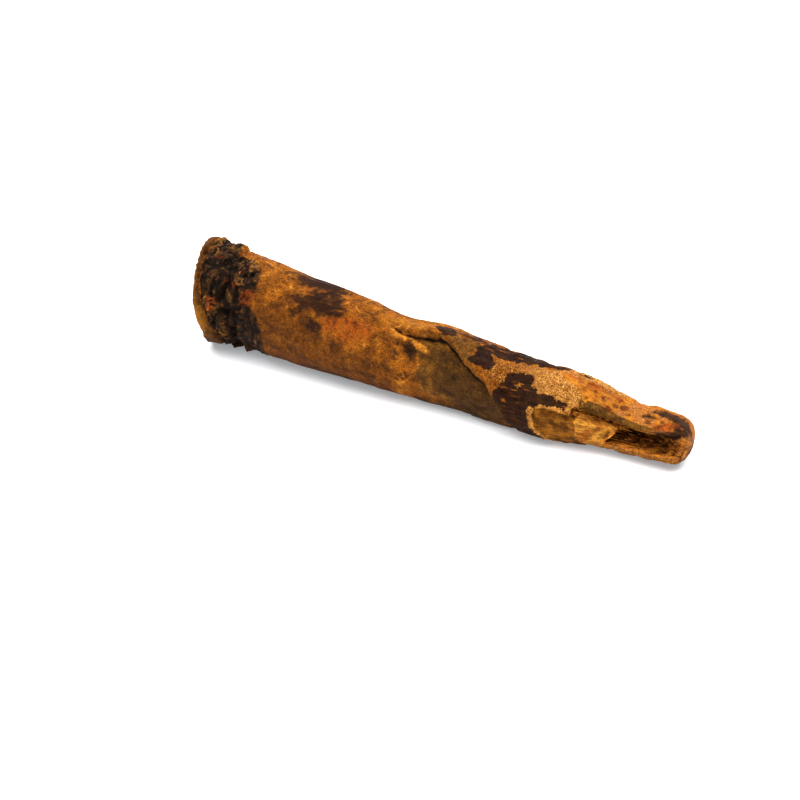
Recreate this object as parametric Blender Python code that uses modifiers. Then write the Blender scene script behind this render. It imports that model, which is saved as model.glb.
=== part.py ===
"""A dried rhubarb root: one solid, lying on its side on the surface that it rests on.

The root lies along +X, with its crown at -X, its tail at +X and +Z up. It is a tube whose radius depends
on the place along it, in millimetres, and on the angle round it, in degrees: angle 0 looks along -Y and
90 is straight up. A long slot is cut into the tail, the whole is grown into one skin, and it stands on
the swellings that are worn flat under it.
"""

import math

import bmesh
import bpy
import numpy as np
from mathutils import Vector, noise

MM = 0.001

# The plain tube: place along, half width, half height and how far its middle lies across, in mm.
TUBE = (
    (-93.0, 17.2, 16.8, 5.2),
    (-84.0, 16.8, 16.6, 5.4),
    (-72.0, 15.4, 15.4, 5.4),
    (-58.0, 14.5, 14.6, 4.4),
    (-38.0, 13.5, 13.5, 2.9),
    (-19.0, 12.1, 12.1, 2.0),
    (-1.0, 12.4, 12.5, 1.2),
    (10.0, 11.9, 12.0, 0.9),
    (24.0, 11.2, 11.3, -0.3),
    (38.0, 11.0, 10.9, -0.6),
    (50.0, 10.0, 9.2, 0.7),
    (62.0, 9.3, 7.7, 1.5),
    (74.0, 8.9, 7.3, 1.4),
    (80.0, 7.8, 6.9, 1.8),
)
RING_GAP = 0.6
SIDES = 190
END_RINGS = 20

# The crown's end face leans: its far side reaches further out than its near side.
CROWN_END = -95.6
CROWN_LEAN = 4.8
CROWN_LEAN_TURN = 12.0
CROWN_LEAN_FADES = -66.0
CROWN_TUCK = 1.9
CROWN_TUCK_ANGLE = -30.0
CROWN_TUCK_SPREAD = 34.0
CROWN_ROUNDING = 1.8
CROWN_HOLLOW = 2.4
TAIL_END = 79.6
TAIL_ROUNDING = 5.0

# Lines on the crown: the place along at each angle round.
CROWN_ANGLES = (-60.0, -30.0, -12.0, 7.0, 19.0, 34.0, 43.0, 60.0, 78.0)
RIM_GROOVE = (-81.2, -83.4, -84.9, -86.4, -88.1, -89.4, -90.3, -91.4, -92.7)
SECOND_FURROW = (-77.5, -77.0, -76.6, -78.6, -80.8, -80.2, -79.2, -79.8, -82.4)

# Knobs and pits on the crown: height, (place along, angle round) and (size along, size round).
CROWN_KNOBS = (
    (0.8, (-86.0, 47.0), (2.0, 9.0)),
    (0.7, (-83.6, 24.0), (1.8, 9.0)),
    (0.6, (-74.4, 60.0), (2.4, 9.0)),
    (-2.6, (-74.4, 60.0), (1.0, 3.6)),
    (-1.6, (-72.2, 64.0), (0.7, 4.5)),
    (2.3, (-92.4, 106.0), (3.6, 20.0)),
    (-2.0, (-92.4, 79.0), (1.0, 5.5)),
    (-1.0, (-88.2, 112.0), (1.5, 14.0)),
    (1.7, (-84.6, 114.0), (3.0, 15.0)),
)

# Broad rises and hollows along the root's back, written the same way.
BACK_SWELLINGS = (
    (-0.9, (13.0, 112.0), (10.0, 38.0)),
    (0.8, (45.0, 118.0), (7.0, 35.0)),
    (-0.5, (60.0, 120.0), (4.0, 30.0)),
    (0.6, (-34.0, 116.0), (30.0, 36.0)),
    (0.6, (-6.0, 120.0), (8.0, 28.0)),
)

# The edge of the sunken place: the angle round at each place along, under the rolled lip and down the side.
SUNKEN_PLACES = (-24.0, -19.0, -15.4, -10.0, -3.4, 0.0, 2.0, 4.5, 7.2, 10.2, 14.3, 18.3, 21.3, 24.1, 26.0)
SUNKEN_ANGLES = (80.0, 74.0, 68.5, 69.5, 75.0, 70.5, 64.0, 56.0, 47.0, 39.0, 29.0, 16.0, -1.0, -33.0, -60.0)

# The low ridge that crosses it, written the same way.
RIDGE_PLACES = (-18.0, -14.5, -10.4, -6.4, -2.0)
RIDGE_ANGLES = (61.0, 60.0, 55.0, 48.0, 38.0)

# Where the bark ends and the split tongue begins: the place along at each angle round. Below them, where the
# tongue's face looks and how far out it lies at each place along.
BARK_END_ANGLES = (-180.0, -60.0, 20.0, 32.0, 43.0, 63.0, 86.0, 96.0, 106.0, 140.0, 180.0)
BARK_END_PLACES = (66.0, 66.0, 47.0, 46.4, 47.6, 45.8, 42.3, 42.0, 47.0, 66.0, 66.0)
SPLIT_ANGLE = 62.0
SPLIT_PLACES = (40.0, 46.0, 52.0, 58.0, 64.0, 70.0, 76.0)
SPLIT_OUT = (9.8, 9.3, 8.5, 7.3, 6.7, 6.8, 8.0)

# The shaved oval on the side: where it begins at each angle round, its upper edge, where its face looks and
# how deep the bark is round it. Below them, how far out its face lies at each place along.
OVAL_ANGLES = (-70.0, -58.0, -40.0, -20.0, 0.0, 12.0, 20.0)
OVAL_LEFT = (43.5, 40.0, 36.6, 34.0, 32.8, 33.4, 36.5)
OVAL_TOP = 20.0
OVAL_FACING = -20.0
BARK_DEPTH = 0.8
SHAVE_PLACES = (31.0, 34.0, 39.0, 44.0, 46.0)
SHAVE_OUT = (12.4, 11.2, 10.3, 9.7, 9.4)

# The broken flank: how far out it begins, how fast it goes in and from where along, and where it ends.
FLANK = (9.9, 0.48, 46.0)
FLANK_END_ANGLES = (-60.0, -34.0, 0.0, 20.0)
FLANK_END_PLACES = (50.6, 52.4, 56.5, 59.0)

# The slot in the tail: place along, how far across the tongue's side is, its upper edge, the slot's roof,
# its lip at the mouth, its floor and its back, in mm.
SLOT = (
    (44.4, -7.8, 16.6, 14.3, 14.2, 14.1, -5.2),
    (47.2, -6.3, 17.2, 12.9, 12.5, 12.4, -2.8),
    (51.0, -5.2, 16.5, 11.7, 11.2, 11.1, -0.4),
    (57.0, -4.7, 15.0, 10.6, 10.1, 9.9, 2.4),
    (60.2, -4.4, 13.9, 9.9, 9.5, 9.3, 3.0),
    (62.4, -4.3, 13.4, 9.6, 5.4, 4.4, 3.6),
    (64.0, -4.2, 13.1, 9.4, 5.2, 4.0, 4.2),
    (68.0, -4.0, 12.8, 9.3, 5.6, 3.8, 3.4),
    (72.0, -3.9, 13.0, 9.7, 5.6, 4.1, 1.4),
    (75.0, -3.6, 13.6, 10.8, 5.8, 4.6, -1.0),
    (78.0, -3.4, 14.4, 12.6, 7.0, 6.0, -3.6),
    (80.2, -3.4, 14.4, 13.4, 8.6, 8.0, -6.0),
)
SLOT_LEAN = 1.9  # the slot's start leans back below the roof, by this much of the drop
SLOT_LEAN_FADES = (64.0, 73.0)
SLOT_MOUTH = -14.0

SKIN_VOXEL = 0.0006
TRIANGLES = 10500
WORN_FLAT = 0.6  # how much of the lowest swellings is worn off, in mm


def ramp(value, low, high):
    """0 below low, 1 above high, and a smooth climb between them."""
    t = np.clip((value - low) / (high - low), 0, 1)
    return t * t * (3 - 2 * t)


def turned(angle, centre):
    """How far the angle lies from centre, from -180 to 180 degrees."""
    return (angle - centre + 180) % 360 - 180


def spot(x, angle, place, size):
    """1 at place, fading to nothing over size; both are (mm along, degrees round)."""
    along = (x - place[0]) / size[0]
    across = turned(angle, place[1]) / size[1]
    return np.exp(-(along**2) - across**2)


def line(value, width):
    """1 where value is 0, fading to nothing over width."""
    return np.exp(-((value / width) ** 2))


def tube_at(x, column):
    """One column of the tube's table at x, on a curve with no corner at a row."""
    rows = np.array(TUBE)
    places, values = rows[:, 0], rows[:, column]
    slopes = np.gradient(values, places)
    i = np.clip(np.searchsorted(places, x) - 1, 0, len(places) - 2)
    gap = places[i + 1] - places[i]
    t = np.clip((x - places[i]) / gap, 0, 1)
    rise = t * t * (3 - 2 * t)
    bend = gap * (slopes[i] * t * (1 - t) ** 2 - slopes[i + 1] * t * t * (1 - t))
    return values[i] * (1 - rise) + values[i + 1] * rise + bend


def tube_radius(x, angle):
    """The plain tube's radius at each angle, in mm."""
    turn = np.radians(angle)
    return 1 / np.sqrt((np.cos(turn) / tube_at(x, 1)) ** 2 + (np.sin(turn) / tube_at(x, 2)) ** 2)


def crown_end(angle):
    """Where the crown ends at each angle round."""
    lean = CROWN_LEAN * np.cos(np.radians(angle + CROWN_LEAN_TURN))
    return CROWN_END + lean + CROWN_TUCK * line(turned(angle, CROWN_TUCK_ANGLE), CROWN_TUCK_SPREAD)


def lumps(points, size, octaves=4, seed=0.0):
    """Fractal noise between about -1 and 1 at each point; size is the span of its broadest lumps in mm."""
    scale = np.broadcast_to(np.asarray(size, float), 3)
    where = points.reshape(-1, 3) / scale + seed
    found = [noise.fractal(Vector(place), 0.9, 2.0, octaves) for place in where]
    return np.array(found).reshape(points.shape[:-1])


def crown_relief(x, angle, points):
    """The rim, the rings of leaf scars, the raised plate and the knobs of the crown."""
    near = turned(angle, 30.0) + 30.0
    wander = lumps(points, 7.0, 4, 11.0)
    from_end = x - crown_end(angle)
    hidden = ramp(np.abs(near - 30.0), 85.0, 105.0)
    groove = np.interp(near, CROWN_ANGLES, RIM_GROOVE) * (1 - hidden) + (crown_end(angle) + 4.0) * hidden
    furrow = np.interp(near, CROWN_ANGLES, SECOND_FURROW)
    past_groove = ramp(x - groove, 0.0, 2.0)
    scars = np.abs(lumps(points, (2.6, 6.5, 6.5), 3, 3.0))
    pits = ramp(lumps(points, 2.6, 3, 23.0), 0.25, 0.75)
    plate = ramp(x + 0.8 * wander, -78.6, -77.4) * ramp(0.8 * wander - x, 70.4, 71.6)
    plate = plate * ramp(near + 8 * wander, 38.0, 44.0) * ramp(8 * wander - near, -102.0, -92.0)
    scarred = past_groove * ramp(2.0 * wander - x, 71.0, 76.0) * (1 - 0.7 * plate)
    scarred = scarred * (1 - 0.75 * line(near - 118.0, 26.0)) * (1 - 0.4 * hidden)
    relief = 0.4 * line(from_end - 1.2, 1.2)
    relief = relief - 1.9 * line(x - groove + 0.4 * wander, 0.75)
    relief = relief - 2.4 * line(x - furrow + 2.0 * wander, 1.0)
    relief = relief - 1.1 * line(x - furrow + 5.0 + 2.4 * wander, 0.6) * ramp(-near, -60.0, -45.0)
    relief = relief + scarred * (3.3 * scars - 1.2 - 1.8 * pits)
    relief = relief + 0.9 * plate
    relief = relief - 0.6 * ramp(x, -79.0, -77.0) * ramp(wander - x, 66.5, 69.0) * ramp(-near, -42.0, -34.0)
    relief = relief + 0.5 * line(x + 68.3 + 0.12 * (near - 55.0), 0.8) * spot(x, angle, (-68.3, 55.0), (9.0, 24.0))
    for height, place, size in CROWN_KNOBS:
        relief = relief + height * spot(x, angle, place, size)
    return relief


def sunken_relief(x, angle, points):
    """The sunken place under the rolled lip, and the lobe's edge that bounds it on the right."""
    near = turned(angle, 0.0)
    wander = lumps(points, 5.0, 4, 21.0)
    edge = np.interp(x, SUNKEN_PLACES, SUNKEN_ANGLES)
    below = edge - near + 3.5 * wander
    shown = ramp(near, -75.0, -30.0) * ramp(-x, -26.0, -24.5)
    begins = ramp(x, -21.0, -4.0)
    crack = line(below - 3.0, 2.6) * ramp(x, -21.0, -15.0) * ramp(-x, -27.0, -20.0)
    ridge_angle = np.interp(x, RIDGE_PLACES, RIDGE_ANGLES)
    ridge = line(near - ridge_angle + 4 * wander, 4.5) * ramp(x, -20.0, -15.0) * ramp(-x, 2.0, 6.0)
    relief = -1.7 * begins * ramp(below, 0.0, 4.0) * shown - 1.8 * crack * shown
    relief = relief + 1.2 * line(below + 10.0, 10.0) * ramp(x, -24.0, -12.0) * ramp(-x, -8.0, 0.0)
    relief = relief + 0.6 * line(below + 14.0, 11.0) * ramp(x, 8.0, 14.0) * ramp(-x, -27.0, -22.0)
    relief = relief + 1.1 * ridge - 0.9 * spot(x, angle, (-12.0, 42.0), (2.6, 7.0))
    groove = line(near - np.interp(x, (18.0, 30.0, 46.0), (25.0, 19.0, 10.0)) + 3 * wander, 5.0)
    return relief - 0.6 * groove * ramp(x, 18.0, 23.0) * ramp(-x, -46.0, -38.0)


def bark_relief(x, angle, points):
    """Wrinkles along the root, the uneven swelling of dried wood and the flaked cork of its tail half."""
    wrinkles = lumps(points, (24.0, 3.4, 3.4), 4, 51.0)
    swelling = lumps(points, (18.0, 12.0, 12.0), 3, 61.0)
    flakes = ramp(lumps(points, (6.0, 5.0, 5.0), 4, 71.0), -0.05, 0.12)
    tail_half = ramp(x, 2.0, 12.0)
    taper = ramp(x, -70.0, -64.0)
    relief = (0.14 + 0.24 * tail_half + 0.2 * taper) * wrinkles + 0.5 * swelling
    resting = line(turned(angle, -90.0), 28.0) * ramp(x, -90.0, -80.0) * ramp(-x, 48.0, 62.0)
    relief = relief + 0.45 * tail_half * flakes + 0.35 * resting
    for height, place, size in BACK_SWELLINGS:
        relief = relief + height * spot(x, angle, place, size)
    return relief


def shaved(radius, angle, facing_angle, from_middle):
    """The radius where a flat cut, facing that angle at that distance from the middle, limits it."""
    facing = np.maximum(np.cos(np.radians(turned(angle, facing_angle))), 0.15)
    return np.minimum(radius, from_middle / facing)


def tail_cuts(x, angle, radius, points):
    """The shaved oval on the side, the broken flank beside the tongue and the tongue's split face."""
    near = turned(angle, 0.0)
    wander = lumps(points, 4.0, 4, 41.0)
    rough = lumps(points, (5.0, 1.6, 1.6), 4, 81.0)
    from_left = x - np.interp(near, OVAL_ANGLES, OVAL_LEFT) - 0.5 * wander
    from_top = OVAL_TOP + 3 * wander - near
    oval = ramp(from_left, 0.0, 0.7) * ramp(from_top, 0.0, 4.0)
    rim = line(np.minimum(from_left, 0.2 * from_top) + 1.2, 1.1) * ramp(x, 30.0, 33.0) * ramp(-x, -46.5, -45.0)
    shave = np.interp(x, SHAVE_PLACES, SHAVE_OUT)
    shaven = shaved(radius - BARK_DEPTH, angle, OVAL_FACING, shave + 0.15 * rough)
    radius = radius + oval * (shaven - radius) + 0.35 * rim * ramp(near, -60.0, -40.0)
    flank_end = np.interp(near, FLANK_END_ANGLES, FLANK_END_PLACES)
    flank = tube_at(x, 3) + FLANK[0] - FLANK[1] * (x - FLANK[2]) + 20.0 * ramp(x - flank_end, 0.0, 1.5)
    radius = np.where(near < 24.0, shaved(radius, angle, 0.0, flank + 0.4 * rough), radius)
    bark_end = np.interp(near, BARK_END_ANGLES, BARK_END_PLACES) + 0.9 * wander
    past_bark = ramp(x - bark_end, 0.0, 1.0)
    from_middle = np.interp(x, SPLIT_PLACES, SPLIT_OUT)
    split = shaved(radius, angle, SPLIT_ANGLE, from_middle + 0.12 * rough)
    return radius + past_bark * (split - radius)


def tube_points():
    """The rings of points of the root before the slot is cut, in mm."""
    first, last = TUBE[0][0], TAIL_END
    shares = np.linspace(0.03, 1, END_RINGS)
    inset = 1 - (1 - shares**2) ** (1 / 2.4)
    inner = np.arange(first + CROWN_ROUNDING, last - TAIL_ROUNDING, RING_GAP)[1:]
    along = np.concatenate([first + CROWN_ROUNDING * inset, inner, last - TAIL_ROUNDING * inset[::-1]])
    share = np.concatenate([shares, np.ones(len(inner)), shares[::-1]])
    x, angle = np.meshgrid(along, np.arange(SIDES) * 360 / SIDES, indexing="ij")
    share = np.repeat(share[:, None], SIDES, axis=1)
    lean = (crown_end(angle) - first) * (1 - ramp(x, first, CROWN_LEAN_FADES))
    hollow = CROWN_HOLLOW * ramp(1 - share, 0.2, 0.8) * (x < 0)
    place = x + lean * share + hollow
    across, up = tube_at(x, 3), tube_at(x, 2)
    turn = np.radians(angle)

    def placed(radius):
        return np.stack([place, across - radius * np.cos(turn), up + radius * np.sin(turn)], axis=-1)

    radius = tube_radius(x, angle)
    points = placed(radius * share)
    radius = radius + bark_relief(place, angle, points)
    radius = radius + crown_relief(place, angle, points)
    radius = radius + sunken_relief(place, angle, points)
    radius = tail_cuts(place, angle, radius, points)
    return placed(radius * share)


def new_tube(name, rings, collection):
    """A closed tube through rings of points, in mm, in a collection of its own."""
    mesh = bmesh.new()
    rings = [[mesh.verts.new(point * MM) for point in ring] for ring in rings]
    sides = len(rings[0])
    for near, far in zip(rings, rings[1:]):
        for i in range(sides):
            mesh.faces.new((near[i], near[(i + 1) % sides], far[(i + 1) % sides], far[i]))
    mesh.faces.new(rings[0][::-1])
    mesh.faces.new(rings[-1])
    bmesh.ops.recalc_face_normals(mesh, faces=mesh.faces)
    data = bpy.data.meshes.new(name)
    mesh.to_mesh(data)
    mesh.free()
    obj = bpy.data.objects.new(name, data)
    group = bpy.data.collections.new(collection)
    group.objects.link(obj)
    bpy.context.scene.collection.children.link(group)
    return obj


def slot_cutter():
    """The slot's space: a cage of few faces, rounded by subdivision."""
    rings = []
    for x, side, edge, roof, lip, floor, back in SLOT:
        ring = (
            (x, SLOT_MOUTH, edge + 0.5),
            (x, side, edge),
            (x, side + 0.3, roof),
            (x, max(back - 2.0, -1.5), roof - 0.3),
            (x, back, (roof + floor) / 2),
            (x, back - 2.0, floor),
            (x, min(-3.0, back - 3.0), floor),
            (x, -5.6, lip),
            (x, SLOT_MOUTH, lip - 1.0),
        )
        lean = SLOT_LEAN * (1 - ramp(x, *SLOT_LEAN_FADES))
        rings.append([(x - lean * max(roof - up, 0.0), across, up) for x, across, up in ring])
    cutter = new_tube("slot", np.array(rings), "cutters")
    cutter.hide_render = True
    cutter.display_type = "WIRE"
    rounding = cutter.modifiers.new("rounding", "SUBSURF")
    rounding.levels = rounding.render_levels = 2
    return cutter


def evaluated_mesh(obj):
    """What obj's modifiers make of its mesh."""
    graph = bpy.context.evaluated_depsgraph_get()
    return bpy.data.meshes.new_from_object(obj.evaluated_get(graph))


def cut(obj, cutter):
    """Takes the cutter's space out of obj, and removes the cutter."""
    modifier = obj.modifiers.new("cut", "BOOLEAN")
    modifier.operation = "DIFFERENCE"
    modifier.solver = "EXACT"
    modifier.object = cutter
    obj.data = evaluated_mesh(obj)
    obj.modifiers.clear()
    bpy.data.objects.remove(cutter)


def grow_skin(obj):
    """One even skin over the shape, and then fewer faces where it is smooth."""
    skin = obj.modifiers.new("skin", "REMESH")
    skin.mode = "VOXEL"
    skin.voxel_size = SKIN_VOXEL
    smooth = obj.modifiers.new("smooth", "SMOOTH")
    smooth.iterations = 2
    obj.data = evaluated_mesh(obj)
    obj.modifiers.clear()
    obj.data.calc_loop_triangles()
    thin = obj.modifiers.new("thin", "DECIMATE")
    thin.ratio = TRIANGLES / len(obj.data.loop_triangles)
    obj.data = evaluated_mesh(obj)
    obj.modifiers.clear()


def stand_on_flats(obj):
    """Wears the lowest swellings flat, and puts the origin under the middle of the root's box."""
    mesh = bmesh.new()
    mesh.from_mesh(obj.data)
    low = Vector(min(v.co[i] for v in mesh.verts) for i in range(3))
    high = Vector(max(v.co[i] for v in mesh.verts) for i in range(3))
    floor = low.z + WORN_FLAT * MM
    geometry = mesh.verts[:] + mesh.edges[:] + mesh.faces[:]
    flat = bmesh.ops.bisect_plane(
        mesh, geom=geometry, dist=1e-6, plane_co=(0, 0, floor), plane_no=(0, 0, -1), clear_outer=True
    )
    rim = [item for item in flat["geom_cut"] if isinstance(item, bmesh.types.BMEdge)]
    bmesh.ops.holes_fill(mesh, edges=rim, sides=0)
    middle = (low + high) / 2
    move = Vector((-middle.x, -middle.y, -floor))
    bmesh.ops.translate(mesh, verts=mesh.verts, vec=move)
    bmesh.ops.recalc_face_normals(mesh, faces=mesh.faces)
    mesh.to_mesh(obj.data)
    mesh.free()
    return move


def root_material():
    """Plain brown bark."""
    material = bpy.data.materials.new("dried_root")
    material.use_nodes = True
    shader = material.node_tree.nodes["Principled BSDF"]
    shader.inputs["Base Color"].default_value = (0.33, 0.13, 0.03, 1)
    shader.inputs["Roughness"].default_value = 0.75
    shader.inputs["Metallic"].default_value = 0.0
    return material


def main():
    """Builds the root alone in the scene, and returns how far it was moved."""
    for obj in list(bpy.data.objects):
        bpy.data.objects.remove(obj)
    for group in list(bpy.data.collections):
        bpy.data.collections.remove(group)
    root = new_tube("rhubarb_root", tube_points(), "rhubarb root")
    cut(root, slot_cutter())
    grow_skin(root)
    moved = stand_on_flats(root)
    root.data.materials.clear()
    root.data.materials.append(root_material())
    root.data.shade_smooth()
    root.data.set_sharp_from_angle(angle=math.radians(60))
    return moved


main()
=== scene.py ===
"""A dried rhubarb root, dressed: finer skin, bark colours, cork crumbs, wood fibres, and a pale studio.

Everything is in millimetres on the root as it lies in the source, before its move to the frame: x along
it, and the angle round it in degrees, where 0 looks along -Y and 90 is straight up.
"""

import math

import bmesh
import bpy
import numpy as np
from mathutils import Matrix, Vector, noise


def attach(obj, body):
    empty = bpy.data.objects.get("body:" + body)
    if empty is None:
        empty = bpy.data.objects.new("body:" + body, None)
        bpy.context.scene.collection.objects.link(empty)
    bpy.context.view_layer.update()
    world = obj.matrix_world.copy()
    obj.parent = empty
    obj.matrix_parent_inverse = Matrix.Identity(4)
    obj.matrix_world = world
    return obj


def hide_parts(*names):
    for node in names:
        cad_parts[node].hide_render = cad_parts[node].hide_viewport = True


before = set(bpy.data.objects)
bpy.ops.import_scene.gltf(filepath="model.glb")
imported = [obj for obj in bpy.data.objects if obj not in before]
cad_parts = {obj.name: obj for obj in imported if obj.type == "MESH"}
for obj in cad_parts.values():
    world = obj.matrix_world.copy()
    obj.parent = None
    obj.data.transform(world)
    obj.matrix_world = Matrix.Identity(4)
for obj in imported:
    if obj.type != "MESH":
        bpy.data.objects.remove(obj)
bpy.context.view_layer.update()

bl_info = {
    "name": "Dried rhubarb root",
    "version": (1, 0, 0),
    "blender": (4, 5, 0),
    "location": "3D View > Sidebar > Rhubarb root",
    "description": "Builds a dried rhubarb root with its bark, cork crumbs and fibres, on a pale stage",
    "category": "Add Mesh",
}

MM = 0.001
NODE = "rhubarb_root"
BODY = "root"
ROOT_MOVE = (9.593, -4.996, 0.119)  # from the place it's grown in to its place on the floor

# The plain tube: place along, half width, half height and how far its middle lies across, in mm.
TUBE = (
    (-93.0, 17.2, 16.8, 5.2),
    (-84.0, 16.8, 16.6, 5.4),
    (-72.0, 15.4, 15.4, 5.4),
    (-58.0, 14.5, 14.6, 4.4),
    (-38.0, 13.5, 13.5, 2.9),
    (-19.0, 12.1, 12.1, 2.0),
    (-1.0, 12.4, 12.5, 1.2),
    (10.0, 11.9, 12.0, 0.9),
    (24.0, 11.2, 11.3, -0.3),
    (38.0, 11.0, 10.9, -0.6),
    (50.0, 10.0, 9.2, 0.7),
    (62.0, 9.3, 7.7, 1.5),
    (74.0, 8.9, 7.3, 1.4),
    (80.0, 7.8, 6.9, 1.8),
)
END_RINGS = 26

# The crown's end face leans: its far side reaches further out than its near side.
CROWN_END = -95.6
CROWN_LEAN = 4.8
CROWN_LEAN_TURN = 12.0
CROWN_LEAN_FADES = -66.0
CROWN_TUCK = 1.9
CROWN_TUCK_ANGLE = -30.0
CROWN_TUCK_SPREAD = 34.0
CROWN_ROUNDING = 1.8
CROWN_HOLLOW = 2.4
TAIL_END = 79.6
TAIL_ROUNDING = 5.0

# Lines on the crown: the place along at each angle round.
CROWN_ANGLES = (-60.0, -30.0, -12.0, 7.0, 19.0, 34.0, 43.0, 60.0, 78.0)
RIM_GROOVE = (-81.2, -83.4, -84.9, -86.4, -88.1, -89.4, -90.3, -91.4, -92.7)
SECOND_FURROW = (-77.5, -77.0, -76.6, -78.6, -80.8, -80.2, -79.2, -79.8, -82.4)

# Knobs and pits on the crown: height, (place along, angle round) and (size along, size round).
CROWN_KNOBS = (
    (0.8, (-86.0, 47.0), (2.0, 9.0)),
    (0.7, (-83.6, 24.0), (1.8, 9.0)),
    (0.6, (-74.4, 60.0), (2.4, 9.0)),
    (-2.6, (-74.4, 60.0), (1.0, 3.6)),
    (-1.6, (-72.2, 64.0), (0.7, 4.5)),
    (2.3, (-92.4, 106.0), (3.6, 20.0)),
    (-2.0, (-92.4, 79.0), (1.0, 5.5)),
    (-1.0, (-88.2, 112.0), (1.5, 14.0)),
    (1.7, (-84.6, 114.0), (3.0, 15.0)),
)

# Broad rises and hollows along the root's back, written the same way.
BACK_SWELLINGS = (
    (-0.9, (13.0, 112.0), (10.0, 38.0)),
    (0.8, (45.0, 118.0), (7.0, 35.0)),
    (-0.5, (60.0, 120.0), (4.0, 30.0)),
    (0.6, (-34.0, 116.0), (30.0, 36.0)),
    (0.6, (-6.0, 120.0), (8.0, 28.0)),
)

# The edge of the sunken place: the angle round at each place along, under the rolled lip and down the side.
SUNKEN_PLACES = (-24.0, -19.0, -15.4, -10.0, -3.4, 0.0, 2.0, 4.5, 7.2, 10.2, 14.3, 18.3, 21.3, 24.1, 26.0)
SUNKEN_ANGLES = (80.0, 74.0, 68.5, 69.5, 75.0, 70.5, 64.0, 56.0, 47.0, 39.0, 29.0, 16.0, -1.0, -33.0, -60.0)

# The low ridge that crosses it, written the same way.
RIDGE_PLACES = (-18.0, -14.5, -10.4, -6.4, -2.0)
RIDGE_ANGLES = (61.0, 60.0, 55.0, 48.0, 38.0)

# Where the bark ends and the split tongue begins: the place along at each angle round. Below them, where the
# tongue's face looks and how far out it lies at each place along.
BARK_END_ANGLES = (-180.0, -60.0, 20.0, 32.0, 43.0, 63.0, 86.0, 96.0, 106.0, 140.0, 180.0)
BARK_END_PLACES = (66.0, 66.0, 47.0, 46.4, 47.6, 45.8, 42.3, 42.0, 47.0, 66.0, 66.0)
SPLIT_ANGLE = 62.0
SPLIT_PLACES = (40.0, 46.0, 52.0, 58.0, 64.0, 70.0, 76.0)
SPLIT_OUT = (9.8, 9.3, 8.5, 7.3, 6.7, 6.8, 8.0)

# The shaved oval on the side: where it begins at each angle round, its upper edge, where its face looks and
# how deep the bark is round it. Below them, how far out its face lies at each place along.
OVAL_ANGLES = (-70.0, -58.0, -40.0, -20.0, 0.0, 12.0, 20.0)
OVAL_LEFT = (43.5, 40.0, 36.6, 34.0, 32.8, 33.4, 36.5)
OVAL_TOP = 20.0
OVAL_FACING = -20.0
BARK_DEPTH = 0.8
SHAVE_PLACES = (31.0, 34.0, 39.0, 44.0, 46.0)
SHAVE_OUT = (12.4, 11.2, 10.3, 9.7, 9.4)

# The broken flank: how far out it begins, how fast it goes in and from where along, its upper edge, and where
# it ends. Past there, the cut lies outside all of the root.
FLANK_OUT, FLANK_SLOPE, FLANK_START = 9.9, 0.48, 46.0
FLANK_TOP = 24.0
PAST_ALL = 20.0
FLANK_END_ANGLES = (-60.0, -34.0, 0.0, 20.0)
FLANK_END_PLACES = (50.6, 52.4, 56.5, 59.0)

# The slot in the tail: place along, how far across the tongue's side is, its upper edge, the slot's roof,
# its lip at the mouth, its floor and its back, in mm.
SLOT = (
    (44.4, -7.8, 16.6, 14.3, 14.2, 14.1, -5.2),
    (47.2, -6.3, 17.2, 12.9, 12.5, 12.4, -2.8),
    (51.0, -5.2, 16.5, 11.7, 11.2, 11.1, -0.4),
    (57.0, -4.7, 15.0, 10.6, 10.1, 9.9, 2.4),
    (60.2, -4.4, 13.9, 9.9, 9.5, 9.3, 3.0),
    (62.4, -4.3, 13.4, 9.6, 5.4, 4.4, 3.6),
    (64.0, -4.2, 13.1, 9.4, 5.2, 4.0, 4.2),
    (68.0, -4.0, 12.8, 9.3, 5.6, 3.8, 3.4),
    (72.0, -3.9, 13.0, 9.7, 5.6, 4.1, 1.4),
    (75.0, -3.6, 13.6, 10.8, 5.8, 4.6, -1.0),
    (78.0, -3.4, 14.4, 12.6, 7.0, 6.0, -3.6),
    (80.2, -3.4, 14.4, 13.4, 8.6, 8.0, -6.0),
)
SLOT_LEAN = 1.9  # the slot's start leans back below the roof, by this much of the drop
SLOT_LEAN_FADES = (64.0, 73.0)
SLOT_MOUTH = -14.0

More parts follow.
